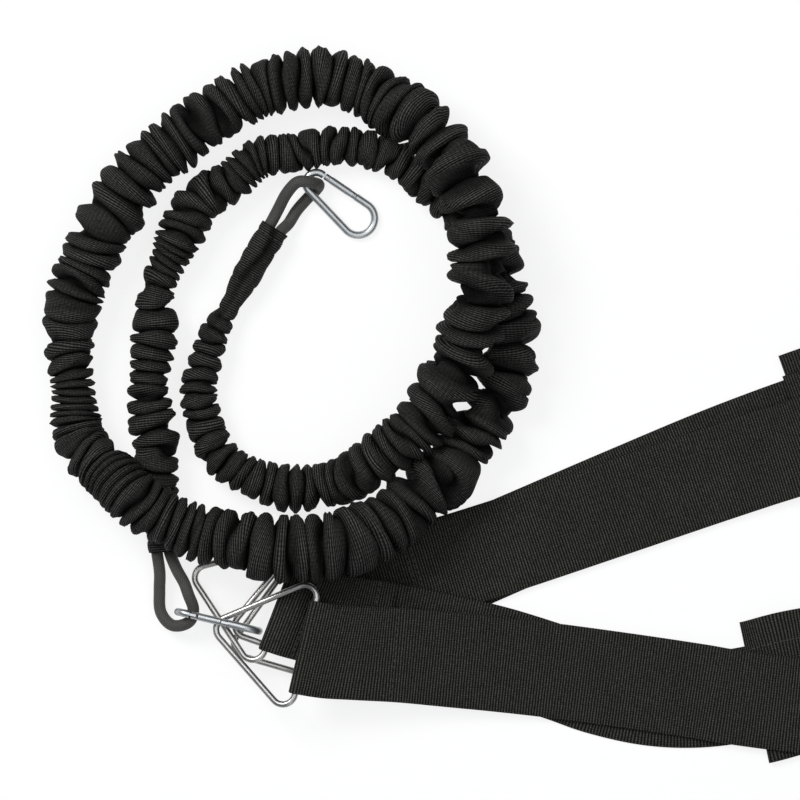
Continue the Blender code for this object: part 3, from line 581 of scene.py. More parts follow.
def leg(places, sign):
    """Rows of one leg at places along the sleeve: its centre beside the sleeve's line, and its radius."""
    places = np.asarray(places)
    distance = np.minimum(places, sleeve_length - places)
    apart = 1 - ease((distance + MOUTH_TAPER - MOUTH_LENGTH) / MOUTH_TAPER)
    pinch = 1 - ease((np.abs(distance - CRIMP_MIDDLE) - CRIMP_LENGTH / 2) / (LEG_STEP / 2))
    offset = sign * (LEG_OFFSET - pinch * (LEG_OFFSET - CRIMPED_OFFSET)) * apart
    centre = read_at(sleeve_line, sleeve_at, places)[:, :3]
    centre = centre + read_at(sleeve_across, sleeve_at, places) * offset[:, None]
    return np.column_stack([centre, CORD_RADIUS - pinch * (CORD_RADIUS - CRIMPED_RADIUS)])


def loop_rows(table):
    """Rows of a bare loop from its places in the picture."""
    return np.array([(*place(*row), CORD_RADIUS) for row in table])


def carried(points):
    """A side and an up direction along a path that don't spin about it, also where it stands upright."""
    way = unit(np.gradient(points, axis=0))
    sides = [unit(np.cross((0, 0, 1), way[0]))]
    for step in way[1:]:
        sides.append(unit(sides[-1] - step * (sides[-1] @ step)))
    sides = np.array(sides)
    return sides, np.cross(way, sides)


def round_rings(line, radii, sides):
    """Rings of points round a path."""
    side, lift = carried(line)
    turn = np.linspace(0, math.tau, sides + 1)[None, :-1]
    spokes = np.cos(turn)[..., None] * side[:, None] + np.sin(turn)[..., None] * lift[:, None]
    return line[:, None] + spokes * radii[:, None, None]


braid = Look("braided_cover")
round_cord = braid.uv(0) * (BRAID_CARRIERS / (math.tau * CORD_RADIUS))
along_cord = braid.uv(1) / BRAID_LAY
plait = (round_cord + along_cord).wave(1) * (round_cord - along_cord).wave(1)
tone = (braid.noise(BRAID_BLOT_SIZE) - 0.5) * BRAID_BLOT_STRENGTH + 1
# Painted shade and light: the colour follows the plait that the bump raises, dark in its hollows and light on
# its crowns, with random blots of tone
braid.set(
    Base_Color=braid.mixed((plait * tone).between(0, BRAID_FULL_LIGHT), BRAID_DARK, BRAID_LIGHT),
    Roughness=plait * -BRAID_POLISH + BRAID_ROUGHNESS,
    Normal=braid.bump(plait, BRAID_RELIEF),
    Specular_IOR_Level=0.4,
    Sheen_Weight=0.1,
)

near = np.arange(0, MOUTH_LENGTH + MOUTH_TAPER, LEG_STEP)
middle = np.arange(near[-1], sleeve_length - near[-1], MIDDLE_STEP)[1:]
tail = np.arange(0, TAIL_LENGTH + LEG_STEP / 2, LEG_STEP)
core_rows = np.concatenate([
    leg(tail[::-1], -1),
    loop_rows(LOOP_2_ROUTE),
    leg(np.concatenate([near, middle, sleeve_length - near[::-1]]), 1),
    loop_rows(LOOP_1_ROUTE),
    leg(sleeve_length - tail, -1),
])
core_line, core_at = spaced(smooth(core_rows, CORD_SAMPLES), CORD_SPACING)
core_rings = round_rings(core_line[:, :3], core_line[:, 3], CORD_SIDES)
core = skin("elastic_cord", core_rings, braid, "cord_and_belts",
            np.linspace(0, math.tau * CORD_RADIUS, CORD_SIDES + 1), core_at)
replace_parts(core, "elastic_core")


# Webbing belts
# Two lengths of 50 mm ribbed polypropylene webbing, each with its ends folded back round a ring and sewn
# down. A 76 mm panel of thicker webbing is sewn inside the far bend of each, where the waist leans.

STRAP_WIDTH = 0.050
STRAP_THICKNESS = 0.0016
PANEL_WIDTH = 0.076
PANEL_THICKNESS = 0.0024
FLAP_LENGTH = 0.058
FOLD_RUN = 0.014
FOLD_START = 0.0035
TURN_RADIUS = 0.012
RING_WIRE_RADIUS = 0.0017
GAP = 0.0003
RING_HEADINGS = [math.radians(turn) for turn in (12.9, 21.0, -15.4, -18.9)]
LAYER = STRAP_THICKNESS + GAP
FOLD_HEIGHT = 2 * RING_WIRE_RADIUS + 2 * STRAP_THICKNESS + 2 * GAP
FLOOR_LAYER = STRAP_THICKNESS / 2
BAR_DROP = RING_WIRE_RADIUS + GAP + STRAP_THICKNESS / 2
PANEL_INSET = STRAP_THICKNESS / 2 + GAP + PANEL_THICKNESS / 2
LOW_BAR_HEIGHT = 0.01454
TOP_BAR_HEIGHT = 0.02995
STRAP_STEP = 0.0025
RUN_SAMPLES = 6
FOLD_STEPS = 14
SELVEDGE_STEPS = 3
STRAP_COLUMNS = 16
STRAP_RIB_PITCH = 0.0015
STRAP_YARN_PITCH = 0.0013
STRAP_RELIEF = 0.0004
# The belts' colours between the ribs and on them: painted shade in the grooves, painted light on the rib
# crests
WEBBING_DARK = (0.0016, 0.0016, 0.0014, 1)
WEBBING_LIGHT = (0.078, 0.078, 0.067, 1)

# Heights of the runs where they leave their rings, in pixels, and the share kept at each place after that
ON_FLOOR = FLOOR_LAYER / PIXEL
BAR_1 = TOP_BAR_HEIGHT / PIXEL
BAR_2 = LOW_BAR_HEIGHT / PIXEL
BAR_3 = (2 * FOLD_HEIGHT + GAP - STRAP_THICKNESS / 2) / PIXEL
OVER_BAR_3 = (2 * FOLD_HEIGHT + 2 * GAP + STRAP_THICKNESS / 2 + GAP / 2) / PIXEL
FALL_1_SHARES = (1, 0.928, 0.828, 0.742, 0.575, 0.374, 0.248, 0.141)
FALL_2_SHARES = (1, 1, 1, 0.752, 0.502, 0.28, 0.096)
FALL_3_SHARES = (1, 0.761, 0.504, 0.481, 0.257)


def coming_down(places, height, shares):
    """The first rows of a strap run, whose height falls from the one given."""
    return [(x, y, height * share) for (x, y), share in zip(places, shares)]


TOP_RUN_1 = coming_down([
    (307.1, 647.3), (322, 650), (338, 652), (362, 653), (400, 655), (450, 660), (500, 665), (560, 672),
], BAR_1, FALL_1_SHARES) + [
    (640, 683, 6.1), (700, 692, 6.5), (730, 697, 9.5), (800, 706, 11.8), (860, 709, 16.0), (930, 702, 19.8),
    (1000, 690, 28.5), (1060, 685, 40.3),
]
LOW_RUN_1 = [(282.5, 606.9, BAR_2)] + coming_down([
    (300, 612.5), (330, 620), (354, 624), (400, 632), (450, 643), (500, 655), (560, 674),
], OVER_BAR_3, FALL_2_SHARES) + [
    (600, 688, ON_FLOOR), (650, 699, ON_FLOOR), (700, 701, ON_FLOOR), (752, 694, ON_FLOOR),
    (800, 682, ON_FLOOR), (860, 674, ON_FLOOR), (930, 677, ON_FLOOR), (1000, 683, ON_FLOOR),
    (1060, 685, ON_FLOOR),
]
TURN_1 = (1130, 685)
TOP_RUN_2 = coming_down([
    (327, 603.3), (352, 596), (376, 586), (430, 569), (470, 557),
], BAR_3, FALL_3_SHARES) + [
    (520, 541, 5.5), (600, 514, 5.5), (700, 480, 5.5), (760, 460, 7.6), (800, 447, 11.8), (860, 424, 16.0),
    (930, 396, 19.8), (990, 372, 28.5), (1040, 352, 40.3),
]
LOW_RUN_2 = [
    (322.7, 618.5, ON_FLOOR), (420, 583, ON_FLOOR), (520, 540, ON_FLOOR), (620, 497, ON_FLOOR),
    (720, 455, ON_FLOOR), (800, 425, ON_FLOOR), (860, 405, ON_FLOOR), (930, 388, ON_FLOOR),
    (990, 371, ON_FLOOR), (1040, 352, ON_FLOOR),
]
TURN_2 = (1100, 328)
PANEL_1_LOW_START = 752
PANEL_1_TOP_START = 812
PANEL_2_LOW_START = 800
PANEL_2_TOP_START = 806

webbing = ribbed("belt_webbing", STRAP_RIB_PITCH, STRAP_YARN_PITCH, WEBBING_DARK, WEBBING_LIGHT,
                 STRAP_RELIEF)


class Strip:
    """A strip of webbing: points along it, each with a level way across it, a normal and its distance."""

    def __init__(self, points, ways, normals, at):
        self.points = points
        self.ways = ways
        self.normals = normals
        self.at = at


def strip_through(rows):
    """The strip through rows of (point, level way across it)."""
    points, ways = (np.array(column) for column in zip(*rows))
    ways = unit(ways)
    return Strip(points, ways, unit(np.cross(np.gradient(points, axis=0), ways)), lengths_along(points))


def lay_run(places, turn, turn_height, heading):
    """A strap run from its ring's bar, to which it starts square, to the far bend."""
    rows = [tuple(place(*row)) for row in places] + [(*place(*turn, 0).xy, turn_height)]
    points, at = spaced(smooth(rows, RUN_SAMPLES), STRAP_STEP)
    points[:, 2] = np.maximum(points[:, 2], FLOOR_LAYER)
    ahead, square, _ = directions(points)
    bar = np.array([math.sin(heading), math.cos(heading), 0])
    share = ease((at - FOLD_RUN) / (FLAP_LENGTH - FOLD_RUN))[:, None]
    ways = unit(bar * (1 - share) + square * share)
    return Strip(points, ways, unit(np.cross(ahead, ways)), at)


def flap_height(at):
    """How far the middle of a flap stands from its run's, at a distance from the ring's bar."""
    return 2 * BAR_DROP + (LAYER - 2 * BAR_DROP) * ease((at - FOLD_START) / FOLD_RUN)


def fold(run, face):
    """The flap on one face of a run and the loop round the bar, from the flap's cut end to the run."""
    rows = []
    for k in reversed(np.flatnonzero((run.at > 0) & (run.at <= FLAP_LENGTH))):
        rows.append((run.points[k] + run.normals[k] * (face * flap_height(run.at[k])), run.ways[k]))
    way = unit(run.points[1] - run.points[0])
    normal = unit(np.cross(way, run.ways[0]))
    for k in range(FOLD_STEPS):
        turn = math.pi * k / FOLD_STEPS
        lifted = run.points[0] + normal * (face * BAR_DROP * (1 + math.cos(turn)))
        rows.append((lifted - way * (BAR_DROP * math.sin(turn)), run.ways[0]))
    return rows


def panel_side(run, face, start):
    """The panel's rows on one face of a run, from a place in the picture to the far bend."""
    from_x = (start - ORIGIN_X) * PIXEL
    return [(point + normal * (face * PANEL_INSET), way)
            for point, way, normal in zip(run.points, run.ways, run.normals) if point[0] >= from_x]


class Belt:
    """A strap laid as a flat loop, with its ends folded round two rings, and the panel in its far bend.

    Each of its two runs comes with the face that looks at the other run, on which its flap and the panel
    lie: 1 for the upper face and -1 for the lower.
    """

    def __init__(self, top_places, low_places, turn, headings, top_start, low_start):
        top = lay_run(top_places, turn, 2 * TURN_RADIUS + FLOOR_LAYER, headings[0])
        low = lay_run(low_places, turn, FLOOR_LAYER, headings[1])
        self.runs = ((top, -1), (low, 1))
        way = unit((low.points[-1] - low.points[-2]) * (1, 1, 0))
        side = np.array([-way[1], way[0], 0])
        centre = low.points[-1] + (0, 0, TURN_RADIUS)
        bend = []
        inner_bend = []
        for k in range(1, FOLD_STEPS):
            turned = math.pi * k / FOLD_STEPS
            spoke = way * math.sin(turned) - np.array([0, 0, math.cos(turned)])
            bend.append((centre + spoke * TURN_RADIUS, side))
            inner_bend.append((centre + spoke * (TURN_RADIUS - PANEL_INSET), side))
        low_end = fold(low, 1) + list(zip(low.points, low.ways))
        top_end = fold(top, -1) + list(zip(top.points, top.ways))
        self.strap = strip_through(low_end + bend + top_end[::-1])
        self.panel = strip_through(panel_side(low, 1, low_start) + inner_bend
                                   + panel_side(top, -1, top_start)[::-1])


def selvedged(width, thickness):
    """The section of a woven band: flat faces, and round edges where the weft turns back."""
    flat = np.linspace(-1, 1, STRAP_COLUMNS + 1) * (width - thickness) / 2
    turn = np.linspace(-math.pi / 2, math.pi / 2, SELVEDGE_STEPS + 2)[1:-1]
    bulge = (width - thickness) / 2 + thickness / 2 * np.cos(turn)
    height = thickness / 2 * np.sin(turn)
    side = np.concatenate([flat[::-1], -bulge, flat, bulge])
    lift = np.concatenate([0 * flat + thickness / 2, -height, 0 * flat - thickness / 2, height])
    return side, lift


def band(strip, width, thickness, node):
    """A woven band along a strip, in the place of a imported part."""
    side, lift = selvedged(width, thickness)
    rings = (strip.points[:, None] + strip.ways[:, None] * side[None, :, None]
             + strip.normals[:, None] * lift[None, :, None])
    weft = np.append(side, side[0])
    piece = skin(f"{node}_webbing", rings, webbing, "cord_and_belts", weft, strip.at)
    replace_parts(piece, node)


belts = [
    Belt(TOP_RUN_1, LOW_RUN_1, TURN_1, RING_HEADINGS[:2], PANEL_1_TOP_START, PANEL_1_LOW_START),
    Belt(TOP_RUN_2, LOW_RUN_2, TURN_2, RING_HEADINGS[2:], PANEL_2_TOP_START, PANEL_2_LOW_START),
]
for number, belt in enumerate(belts, 1):
    band(belt.strap, STRAP_WIDTH, STRAP_THICKNESS, f"belt_{number}_strap")
    band(belt.panel, PANEL_WIDTH, PANEL_THICKNESS, f"belt_{number}_panel")


# Sewing
# Black bonded thread: rows across each folded strap end, two long seams and two hems that hold each panel to
# its strap, and a hem round each mouth of the sleeve.

STITCH_LENGTH = 0.0026
STITCH_PITCH = 0.0031
STITCH_SEGMENTS = 6
STITCH_RINGS = 4
THREAD_WIDTH = 0.0005
THREAD_LIFT = 0.00005
END_ROWS = (0.014, 0.048, 0.0515)
END_ROW_HALF_WIDTH = 0.0232
SEAM_HALF_WIDTH = 0.0228
SEAM_POINTS = 20
HEM_INSET = 0.006
SLEEVE_HEM = 0.0055
THREAD_COLOUR = (0.042, 0.042, 0.039, 1)
# The thread's colour in the valleys of its ply: painted shade
THREAD_VALLEY_COLOUR = (0.021, 0.021, 0.0195, 1)
THREAD_ROUGHNESS = 0.45
THREAD_RELIEF = 0.0001
PLY_SIZE = 0.0004
PLY_RANGE = (0.3, 0.7)
PLY_ROUGHNESS = 0.2

thread = Look("black_thread")
ply = thread.noise(PLY_SIZE, detail=3).between(*PLY_RANGE)
# Painted shade: the thread darkens where the ply noise sinks in the bump
thread.set(
    Base_Color=thread.mixed(ply, THREAD_VALLEY_COLOUR, THREAD_COLOUR),
    Roughness=ply * PLY_ROUGHNESS + THREAD_ROUGHNESS,
    Normal=thread.bump(ply, THREAD_RELIEF),
)


def stitch_tree():
    """Geometry Nodes that lay one raised stitch after another along each seam."""
    tree = bpy.data.node_groups.new("stitches", "GeometryNodeTree")
    add = tree.interface.new_socket
    add("Seams", in_out="INPUT", socket_type="NodeSocketGeometry")
    for name in ("Pitch", "Length", "Width"):
        add(name, in_out="INPUT", socket_type="NodeSocketFloat")
    add("Stitches", in_out="OUTPUT", socket_type="NodeSocketGeometry")
    given, result = tree.nodes.new("NodeGroupInput"), tree.nodes.new("NodeGroupOutput")
    points = tree.nodes.new("GeometryNodeCurveToPoints")
    points.mode = "LENGTH"
    bead = tree.nodes.new("GeometryNodeMeshUVSphere")
    bead.inputs["Segments"].default_value = STITCH_SEGMENTS
    bead.inputs["Rings"].default_value = STITCH_RINGS
    bead.inputs["Radius"].default_value = 0.5
    size = tree.nodes.new("ShaderNodeCombineXYZ")
    sewn = tree.nodes.new("GeometryNodeInstanceOnPoints")
    real = tree.nodes.new("GeometryNodeRealizeInstances")
    black = tree.nodes.new("GeometryNodeSetMaterial")
    black.inputs["Material"].default_value = thread.made
    for source, target in (
        (given.outputs["Seams"], points.inputs["Curve"]),
        (given.outputs["Pitch"], points.inputs["Length"]),
        (given.outputs["Width"], size.inputs["X"]),
        (given.outputs["Width"], size.inputs["Y"]),
        (given.outputs["Length"], size.inputs["Z"]),
        (points.outputs["Points"], sewn.inputs["Points"]),
        (points.outputs["Rotation"], sewn.inputs["Rotation"]),
        (bead.outputs["Mesh"], sewn.inputs["Instance"]),
        (size.outputs["Vector"], sewn.inputs["Scale"]),
        (sewn.outputs["Instances"], real.inputs["Geometry"]),
        (real.outputs["Geometry"], black.inputs["Geometry"]),
        (black.outputs["Geometry"], result.inputs["Stitches"]),
    ):
        tree.links.new(source, target)
    return tree


stitches = stitch_tree()
stitch_sizes = {"Pitch": STITCH_PITCH, "Length": STITCH_LENGTH, "Width": THREAD_WIDTH}


def sew(name, seams):
    """Stitches along seams, each a list of points, as one plain mesh."""
    guide = bpy.data.curves.new("seams", "CURVE")
    guide.dimensions = "3D"
    for seam in seams:
        spline = guide.splines.new("POLY")
        spline.points.add(len(seam) - 1)
        for knot, point in zip(spline.points, seam):
            knot.co = (*point, 1)
    seam_object = add_object("seams", guide)
    modifier = seam_object.modifiers.new("stitches", "NODES")
    modifier.node_group = stitches
    for item in stitches.interface.items_tree:
        if item.name in stitch_sizes:
            modifier[item.identifier] = stitch_sizes[item.name]
    bpy.context.view_layer.update()
    evaluated = seam_object.evaluated_get(bpy.context.evaluated_depsgraph_get())
    mesh = bpy.data.meshes.new_from_object(evaluated)
    bpy.data.objects.remove(seam_object, do_unlink=True)
    mesh.name = name
    mesh.shade_smooth()
    add_piece(name, mesh, "cord_and_belts")


def over(strip, at, offset, lift):
    """The point on a strip at a distance along it, offset across it and lifted along its normal."""
    point, way, normal = (np.array([np.interp(at, strip.at, table[:, k]) for k in range(3)])
                          for table in (strip.points, strip.ways, strip.normals))
    return point + way * offset + normal * lift


def across_seam(strip, at, half_width, lift):
    """A seam straight across a strip, kept above the floor."""
    seam = [over(strip, at, offset, lift) for offset in np.linspace(-half_width, half_width, SEAM_POINTS)]
    return [(x, y, max(z, THREAD_WIDTH / 2)) for x, y, z in seam]


on_strap = STRAP_THICKNESS / 2 + THREAD_LIFT
on_panel = PANEL_THICKNESS / 2 + THREAD_LIFT
for number, belt in enumerate(belts, 1):
    seams = []
    for run, face in belt.runs:
        seams += [across_seam(run, at, END_ROW_HALF_WIDTH, -face * on_strap) for at in END_ROWS]
        seams += [across_seam(run, at, END_ROW_HALF_WIDTH, face * (flap_height(at) + on_strap))
                  for at in END_ROWS]
    sew(f"belt_{number}_strap_stitches", seams)

    panel = belt.panel
    seams = [[over(panel, at, side * SEAM_HALF_WIDTH, on_panel) for at in panel.at[2:-2]]
             for side in (-1, 1)]
    seams += [across_seam(panel, at, (PANEL_WIDTH - HEM_INSET) / 2, on_panel)
              for at in (HEM_INSET, panel.at[-1] - HEM_INSET)]
    sew(f"belt_{number}_panel_stitches", seams)

hems = []
for at in (SLEEVE_HEM, sleeve_length - SLEEVE_HEM):
    row = np.argmin(np.abs(sleeve_at - at))
    hem = surface[row] + outward[row] * THREAD_LIFT
    hems.append([*hem, hem[0]])
sew("sleeve_hem_stitches", hems)


# Triangle rings
# 3.4 mm steel wire bent into a triangle with round corners and nickel plated. The strap lies along its base
# and the snap hook takes all four tips.

RING_HALF_ANGLE = math.radians(35)
RING_CORNER = 0.0065
RING_SIDE_CLEARANCE = 0.0005
RING_HALF_BASE = (STRAP_WIDTH / 2 + RING_SIDE_CLEARANCE
                  + RING_CORNER / math.tan((math.pi / 2 - RING_HALF_ANGLE) / 2))
RING_TIP = RING_HALF_BASE / math.tan(RING_HALF_ANGLE)
RING_TIP_HEIGHTS = (0.0154, 0.00759, 0.01231, 0.00927)
CORNER_STEPS = 14
WIRE_SIDES = 28
SHARP_ANGLE = math.radians(38)
NICKEL = (0.4, 0.395, 0.385, 1)
NICKEL_ROUGHNESS = 0.34
RING_STREAK = 0.0035
STREAK_RANGE = (0.35, 0.65)
STREAK_TONE = 0.86
STREAK_ROUGHNESS = 0.06
KNOCK_SIZE = 0.0009
KNOCK_RANGE = (0.66, 0.76)
KNOCK_ROUGHNESS = 0.1
KNOCK_DEPTH = 0.000008


def plated(name, colour, roughness, streak):
    """Plated wire: soft streaks where it was drawn through its die, and small knocks from use."""
    look = Look(name)
    cloud = look.noise(streak, detail=3)
    knocks = look.noise(KNOCK_SIZE, detail=4).between(*KNOCK_RANGE)
    dull = [share * STREAK_TONE for share in colour[:3]] + [1]
    look.set(
        Base_Color=look.mixed(cloud.between(*STREAK_RANGE), dull, colour),
        Metallic=1.0,
        Roughness=cloud * STREAK_ROUGHNESS + knocks * KNOCK_ROUGHNESS + roughness,
        Normal=look.bump(knocks * -1, KNOCK_DEPTH),
    )
    return look


def solid(rings, round_closed=False):
    """A closed mesh through rings of points, which ends in two caps or runs round into itself."""
    rings = np.array(rings)
    mesh = bpy.data.meshes.new("metal")
    mesh.from_pydata(rings.reshape(-1, 3).tolist(), [], tube_faces(*rings.shape[:2], round_closed))
    return mesh


def stand_for(node, body, mesh, look):
    """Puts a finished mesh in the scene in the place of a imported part."""
    mesh.name = node + "_plated"
    mesh.shade_smooth()
    mesh.set_sharp_from_angle(angle=SHARP_ANGLE)
    mesh.materials.clear()
    mesh.materials.append(look.made)
    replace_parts(add_piece(mesh.name, mesh, body), node)


def axes(x_axis, y_axis, origin):
    """The matrix of a frame with these X and Y directions and this origin."""
    turned = Matrix((x_axis, y_axis, x_axis.cross(y_axis))).transposed().to_4x4()
    turned.translation = origin
    return turned


def rounded(corners, radius):
    """A closed flat outline with its corners rounded."""
    outline = []
    for before, corner, after in zip(corners[-1:] + corners[:-1], corners, corners[1:] + corners[:1]):
        back = (before - corner).normalized()
        on = (after - corner).normalized()
        half_turn = back.angle(on) / 2
        centre = corner + (back + on).normalized() * (radius / math.sin(half_turn))
        first = corner + back * (radius / math.tan(half_turn)) - centre
        last = corner + on * (radius / math.tan(half_turn)) - centre
        for k in range(CORNER_STEPS + 1):
            outline.append(centre + first.slerp(last, k / CORNER_STEPS) * radius)
    return outline


nickel = plated("nickel_plate", NICKEL, NICKEL_ROUGHNESS, RING_STREAK)
corners = [Vector((0, -RING_HALF_BASE, 0)), Vector((0, RING_HALF_BASE, 0)), Vector((RING_TIP, 0, 0))]
triangle = rounded(corners, RING_CORNER)
bars = [run.points[0] + run.normals[0] * (face * BAR_DROP) for belt in belts for run, face in belt.runs]
for number, (bar, heading, tip_height) in enumerate(zip(bars, RING_HEADINGS, RING_TIP_HEIGHTS), 1):
    fall = math.asin((bar[2] - tip_height) / RING_TIP)
    level_way = Vector((-math.cos(heading), math.sin(heading), 0))
    to_tip = level_way * math.cos(fall) - Vector((0, 0, math.sin(fall)))
    ring_frame = axes(to_tip, Vector((0, 0, 1)).cross(level_way), bar)
    outline = np.array([ring_frame @ point for point in triangle])
    lap = np.concatenate([outline[-2:], outline, outline[:2]])
    ring_rings = round_rings(lap, np.full(len(lap), RING_WIRE_RADIUS), WIRE_SIDES)[2:-2]
    stand_for(f"ring_{number}", f"ring_{number}", solid(ring_rings, round_closed=True), nickel)


# Snap hooks
# Each is one 4 mm wire, zinc plated, bent into a small and a big bow. Its gate turns on a pin through the
# wire's flattened end, where a coil spring in the gate pushes a plunger. A second pin, in the gate's nose,
# drops into a notch in the wire's other end.

HOOK_WIRE_RADIUS = 0.002
SMALL_BOW = 0.0056
BIG_BOW = 0.0088
BOW_SPACING = 0.0295
BOW_STEPS = 36
PIVOT_AT = 0.0040
GATE_START = 0.0020
GATE_END = 0.0215
BODY_END = 0.0009
LATCH_AT = 0.0199
TAB_THICKNESS = 0.0012
TAB_HALF_HEIGHT = 0.0013
SLOT_WIDTH = 0.0018
PIN_RADIUS = 0.00055
PIN_HOLE_RADIUS = 0.00064
NOTCH_RADIUS = 0.00078
EDGE_ROUNDING = 0.00025
PIN_ROUNDING = EDGE_ROUNDING / 2
SPRING_WIRE = 0.00017
SPRING_RADIUS = 0.00065
SPRING_LENGTH = 0.0065
SPRING_TURNS = 6
SPRING_STEPS = 14
SPRING_SIDES = 8
COIL_LENGTH = 0.0049
SPRING_BORE = 0.0012
PLUNGER_LENGTH = 0.0022
ZINC = (0.48, 0.5, 0.51, 1)
ZINC_ROUGHNESS = 0.38
HOOK_STREAK = 0.0045

# Where the middle of each hook's small bow lies, and the hook's heading, roll and rise
HOOKS = [
    ((316.1, 182.8, 18.0), (math.radians(40.1), 0, math.radians(-11))),
    ((188.3, 614.2, 26.7), (math.radians(13.5), math.radians(88.4), math.radians(-2.8))),
]

zinc = plated("zinc_plate", ZINC, ZINC_ROUGHNESS, HOOK_STREAK)
bow_lean = math.asin((BIG_BOW - SMALL_BOW) / BOW_SPACING)
gate_way = Vector((math.cos(bow_lean), math.sin(bow_lean), 0))
gate_lift = Vector((-math.sin(bow_lean), math.cos(bow_lean), 0))
gate_line = axes(gate_way, gate_lift, gate_lift * SMALL_BOW)


def hook_frame(small_bow, heading, roll, rise):
    """A hook's own frame: its origin in the small bow, X to the big bow and Y towards the gate."""
    level_x = Vector((math.cos(heading), -math.sin(heading), 0))
    level_y = Vector((0, 0, 1)).cross(level_x)
    x_axis = level_x * math.cos(rise) + Vector((0, 0, math.sin(rise)))
    y_axis = level_y * math.cos(roll) + x_axis.cross(level_y) * math.sin(roll)
    return axes(x_axis, y_axis, place(*small_bow))


def arc(centre, radius, start, end):
    """Points round a bow of the hook, in the hook's own plane."""
    turns = np.linspace(start, end, BOW_STEPS + 1)
    return [Vector((centre + radius * math.cos(turn), radius * math.sin(turn), 0)) for turn in turns]


def rod(base, start, end, radius, rounding=0):
    """A round bar between two places in a base frame, its edges rounded off."""
    start, end = Vector(start), Vector(end)
    length = (end - start).length
    way = (end - start).normalized()
    side = way.orthogonal().normalized()
    spokes = [side * math.cos(turn) + way.cross(side) * math.sin(turn)
              for turn in np.linspace(0, math.tau, WIRE_SIDES + 1)[:-1]]
    profile = [(0, radius - rounding), (rounding, radius), (length - rounding, radius),
               (length, radius - rounding)]
    if not rounding:
        profile = profile[::3]
    return solid([[base @ (start + way * at + spoke * reach) for spoke in spokes] for at, reach in profile])


def block(base, low, high):
    """A box between two corners in a base frame."""
    section = ((high[1], low[2]), (high[1], high[2]), (low[1], high[2]), (low[1], low[2]))
    return solid([[base @ Vector((x, y, z)) for y, z in section] for x in (low[0], high[0])])


def knuckle(base, start, half_thickness):
    """The wire's flattened end in a base frame, rounded about the gate's pin."""
    outline = [(start, TAB_HALF_HEIGHT), (start, -TAB_HALF_HEIGHT)]
    for turn in np.linspace(-math.pi / 2, math.pi / 2, BOW_STEPS + 1):
        outline.append((PIVOT_AT + TAB_HALF_HEIGHT * math.cos(turn), TAB_HALF_HEIGHT * math.sin(turn)))
    return solid([[base @ Vector((x, y, z)) for x, y in outline]
                  for z in (-half_thickness, half_thickness)])


def combined(mesh, others, operation):
    """A mesh with others joined to it or cut from it, one after another."""
    for other in others:
        made = [add_object("metal", each) for each in (mesh, other)]
        modifier = made[0].modifiers.new("combine", "BOOLEAN")
        modifier.operation = operation
        modifier.solver = "EXACT"
        modifier.object = made[1]
        bpy.context.view_layer.update()
        mesh = bpy.data.meshes.new_from_object(made[0].evaluated_get(bpy.context.evaluated_depsgraph_get()))
        for obj in made:
            bpy.data.objects.remove(obj, do_unlink=True)
    return mesh


def bent_wire(hook, gate):
    """The hook's body: the bent wire, one flattened end bored for the pivot pin, the other notched."""
    path = [gate_line @ Vector((GATE_END + GAP, 0, 0))]
    path += arc(BOW_SPACING, BIG_BOW, math.pi / 2 + bow_lean, -math.pi / 2 - bow_lean)
    path += arc(0, SMALL_BOW, -math.pi / 2 - bow_lean, -3 * math.pi / 2 + bow_lean)
    path += [gate_line @ Vector((BODY_END, 0, 0))]
    line = np.array([hook @ point for point in path])
    wire = solid(round_rings(line, np.full(len(line), HOOK_WIRE_RADIUS), WIRE_SIDES))
    half_tab, root = TAB_THICKNESS / 2, HOOK_WIRE_RADIUS / 2
    tabs = [
        block(gate, (LATCH_AT - 2 * NOTCH_RADIUS, -TAB_HALF_HEIGHT, -half_tab),
              (GATE_END + GAP + root, TAB_HALF_HEIGHT, half_tab)),
        knuckle(gate, BODY_END - root, half_tab),
    ]
    holes = [
        rod(gate, (PIVOT_AT, 0, -SLOT_WIDTH), (PIVOT_AT, 0, SLOT_WIDTH), PIN_HOLE_RADIUS),
        block(gate, (LATCH_AT - NOTCH_RADIUS, -SLOT_WIDTH, -SLOT_WIDTH),
              (LATCH_AT + NOTCH_RADIUS, NOTCH_RADIUS, SLOT_WIDTH)),
    ]
    return combined(combined(wire, tabs, "UNION"), holes, "DIFFERENCE")


def slotted_gate(gate):
    """The gate: a rod with a slot at each end, two holes for pins and a bore for the spring."""
    slot_end = PIVOT_AT + TAB_HALF_HEIGHT + 2 * GAP
    half_slot, wide = SLOT_WIDTH / 2, 2 * HOOK_WIRE_RADIUS
    cuts = [
        block(gate, (0, -wide, -half_slot), (slot_end, wide, half_slot)),
        block(gate, (LATCH_AT - 2 * NOTCH_RADIUS - 2 * GAP, -wide, -half_slot),
              (GATE_END + wide, wide, half_slot)),
        rod(gate, (slot_end - GAP, 0, 0), (slot_end + SPRING_LENGTH + PLUNGER_LENGTH, 0, 0), SPRING_BORE),
    ]
    cuts += [rod(gate, (at, 0, -wide), (at, 0, wide), PIN_HOLE_RADIUS) for at in (PIVOT_AT, LATCH_AT)]
    return combined(rod(gate, (GATE_START, 0, 0), (GATE_END, 0, 0), HOOK_WIRE_RADIUS, EDGE_ROUNDING),
                    cuts, "DIFFERENCE")


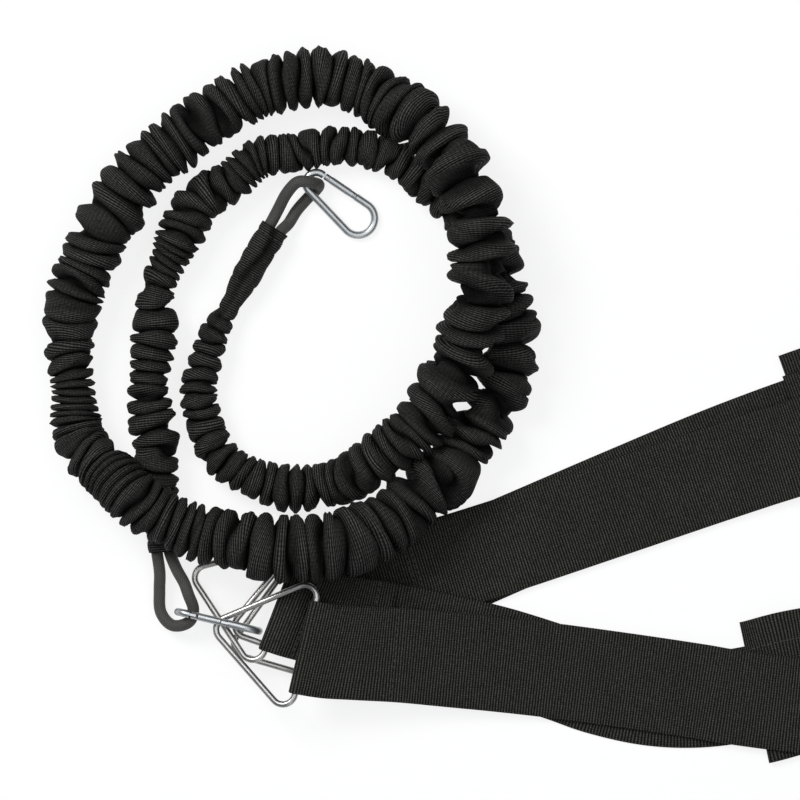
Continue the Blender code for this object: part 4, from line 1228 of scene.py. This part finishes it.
def gate_pin(gate, at):
    """A pin straight through the gate at a place on its line."""
    half_length = HOOK_WIRE_RADIUS - GAP / 2
    return rod(gate, (at, 0, -half_length), (at, 0, half_length), PIN_RADIUS, PIN_ROUNDING)


def coil_spring(gate, start):
    """A coil spring along the gate's line from a place on it."""
    coil = []
    for k in range(SPRING_TURNS * SPRING_STEPS + 1):
        turn = math.tau * k / SPRING_STEPS
        spoke = Vector((0, math.cos(turn), math.sin(turn))) * SPRING_RADIUS
        run = start + COIL_LENGTH * k / (SPRING_STEPS * SPRING_TURNS)
        coil.append(gate @ (spoke + Vector((run, 0, 0))))
    return solid(round_rings(np.array(coil), np.full(len(coil), SPRING_WIRE), SPRING_SIDES))


for number, (small_bow, angles) in enumerate(HOOKS, 1):
    hook = hook_frame(small_bow, *angles)
    gate = hook @ gate_line
    head = PIVOT_AT + TAB_HALF_HEIGHT + GAP
    tail_end = head + PLUNGER_LENGTH
    plunger = rod(gate, (head, 0, 0), (tail_end, 0, 0), (SLOT_WIDTH - GAP) / 2, PIN_ROUNDING)
    for kind, body, mesh in (
        ("body", "hook", bent_wire(hook, gate)),
        ("pivot_pin", "gate", gate_pin(gate, PIVOT_AT)),
        ("latch_pin", "gate", gate_pin(gate, LATCH_AT)),
        ("gate", "gate", slotted_gate(gate)),
        ("plunger", "gate", plunger),
        ("spring", "gate", coil_spring(gate, tail_end + GAP + SPRING_WIRE)),
    ):
        stand_for(f"hook_{number}_{kind}", f"{body}_{number}", mesh, zinc)


# Loop crimps
# Flattened zinc bands inside the sleeve's mouths, which hold the two legs of each loop together.
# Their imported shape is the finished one, so a welded copy of it is plated.

MERGE_DISTANCE = 0.00001

for number in (1, 2):
    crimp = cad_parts[f"loop_crimp_{number}"].data.copy()
    shape = bmesh.new()
    shape.from_mesh(crimp)
    bmesh.ops.remove_doubles(shape, verts=shape.verts, dist=MERGE_DISTANCE)
    shape.to_mesh(crimp)
    shape.free()
    stand_for(f"loop_crimp_{number}", "cord_and_belts", crimp, zinc)
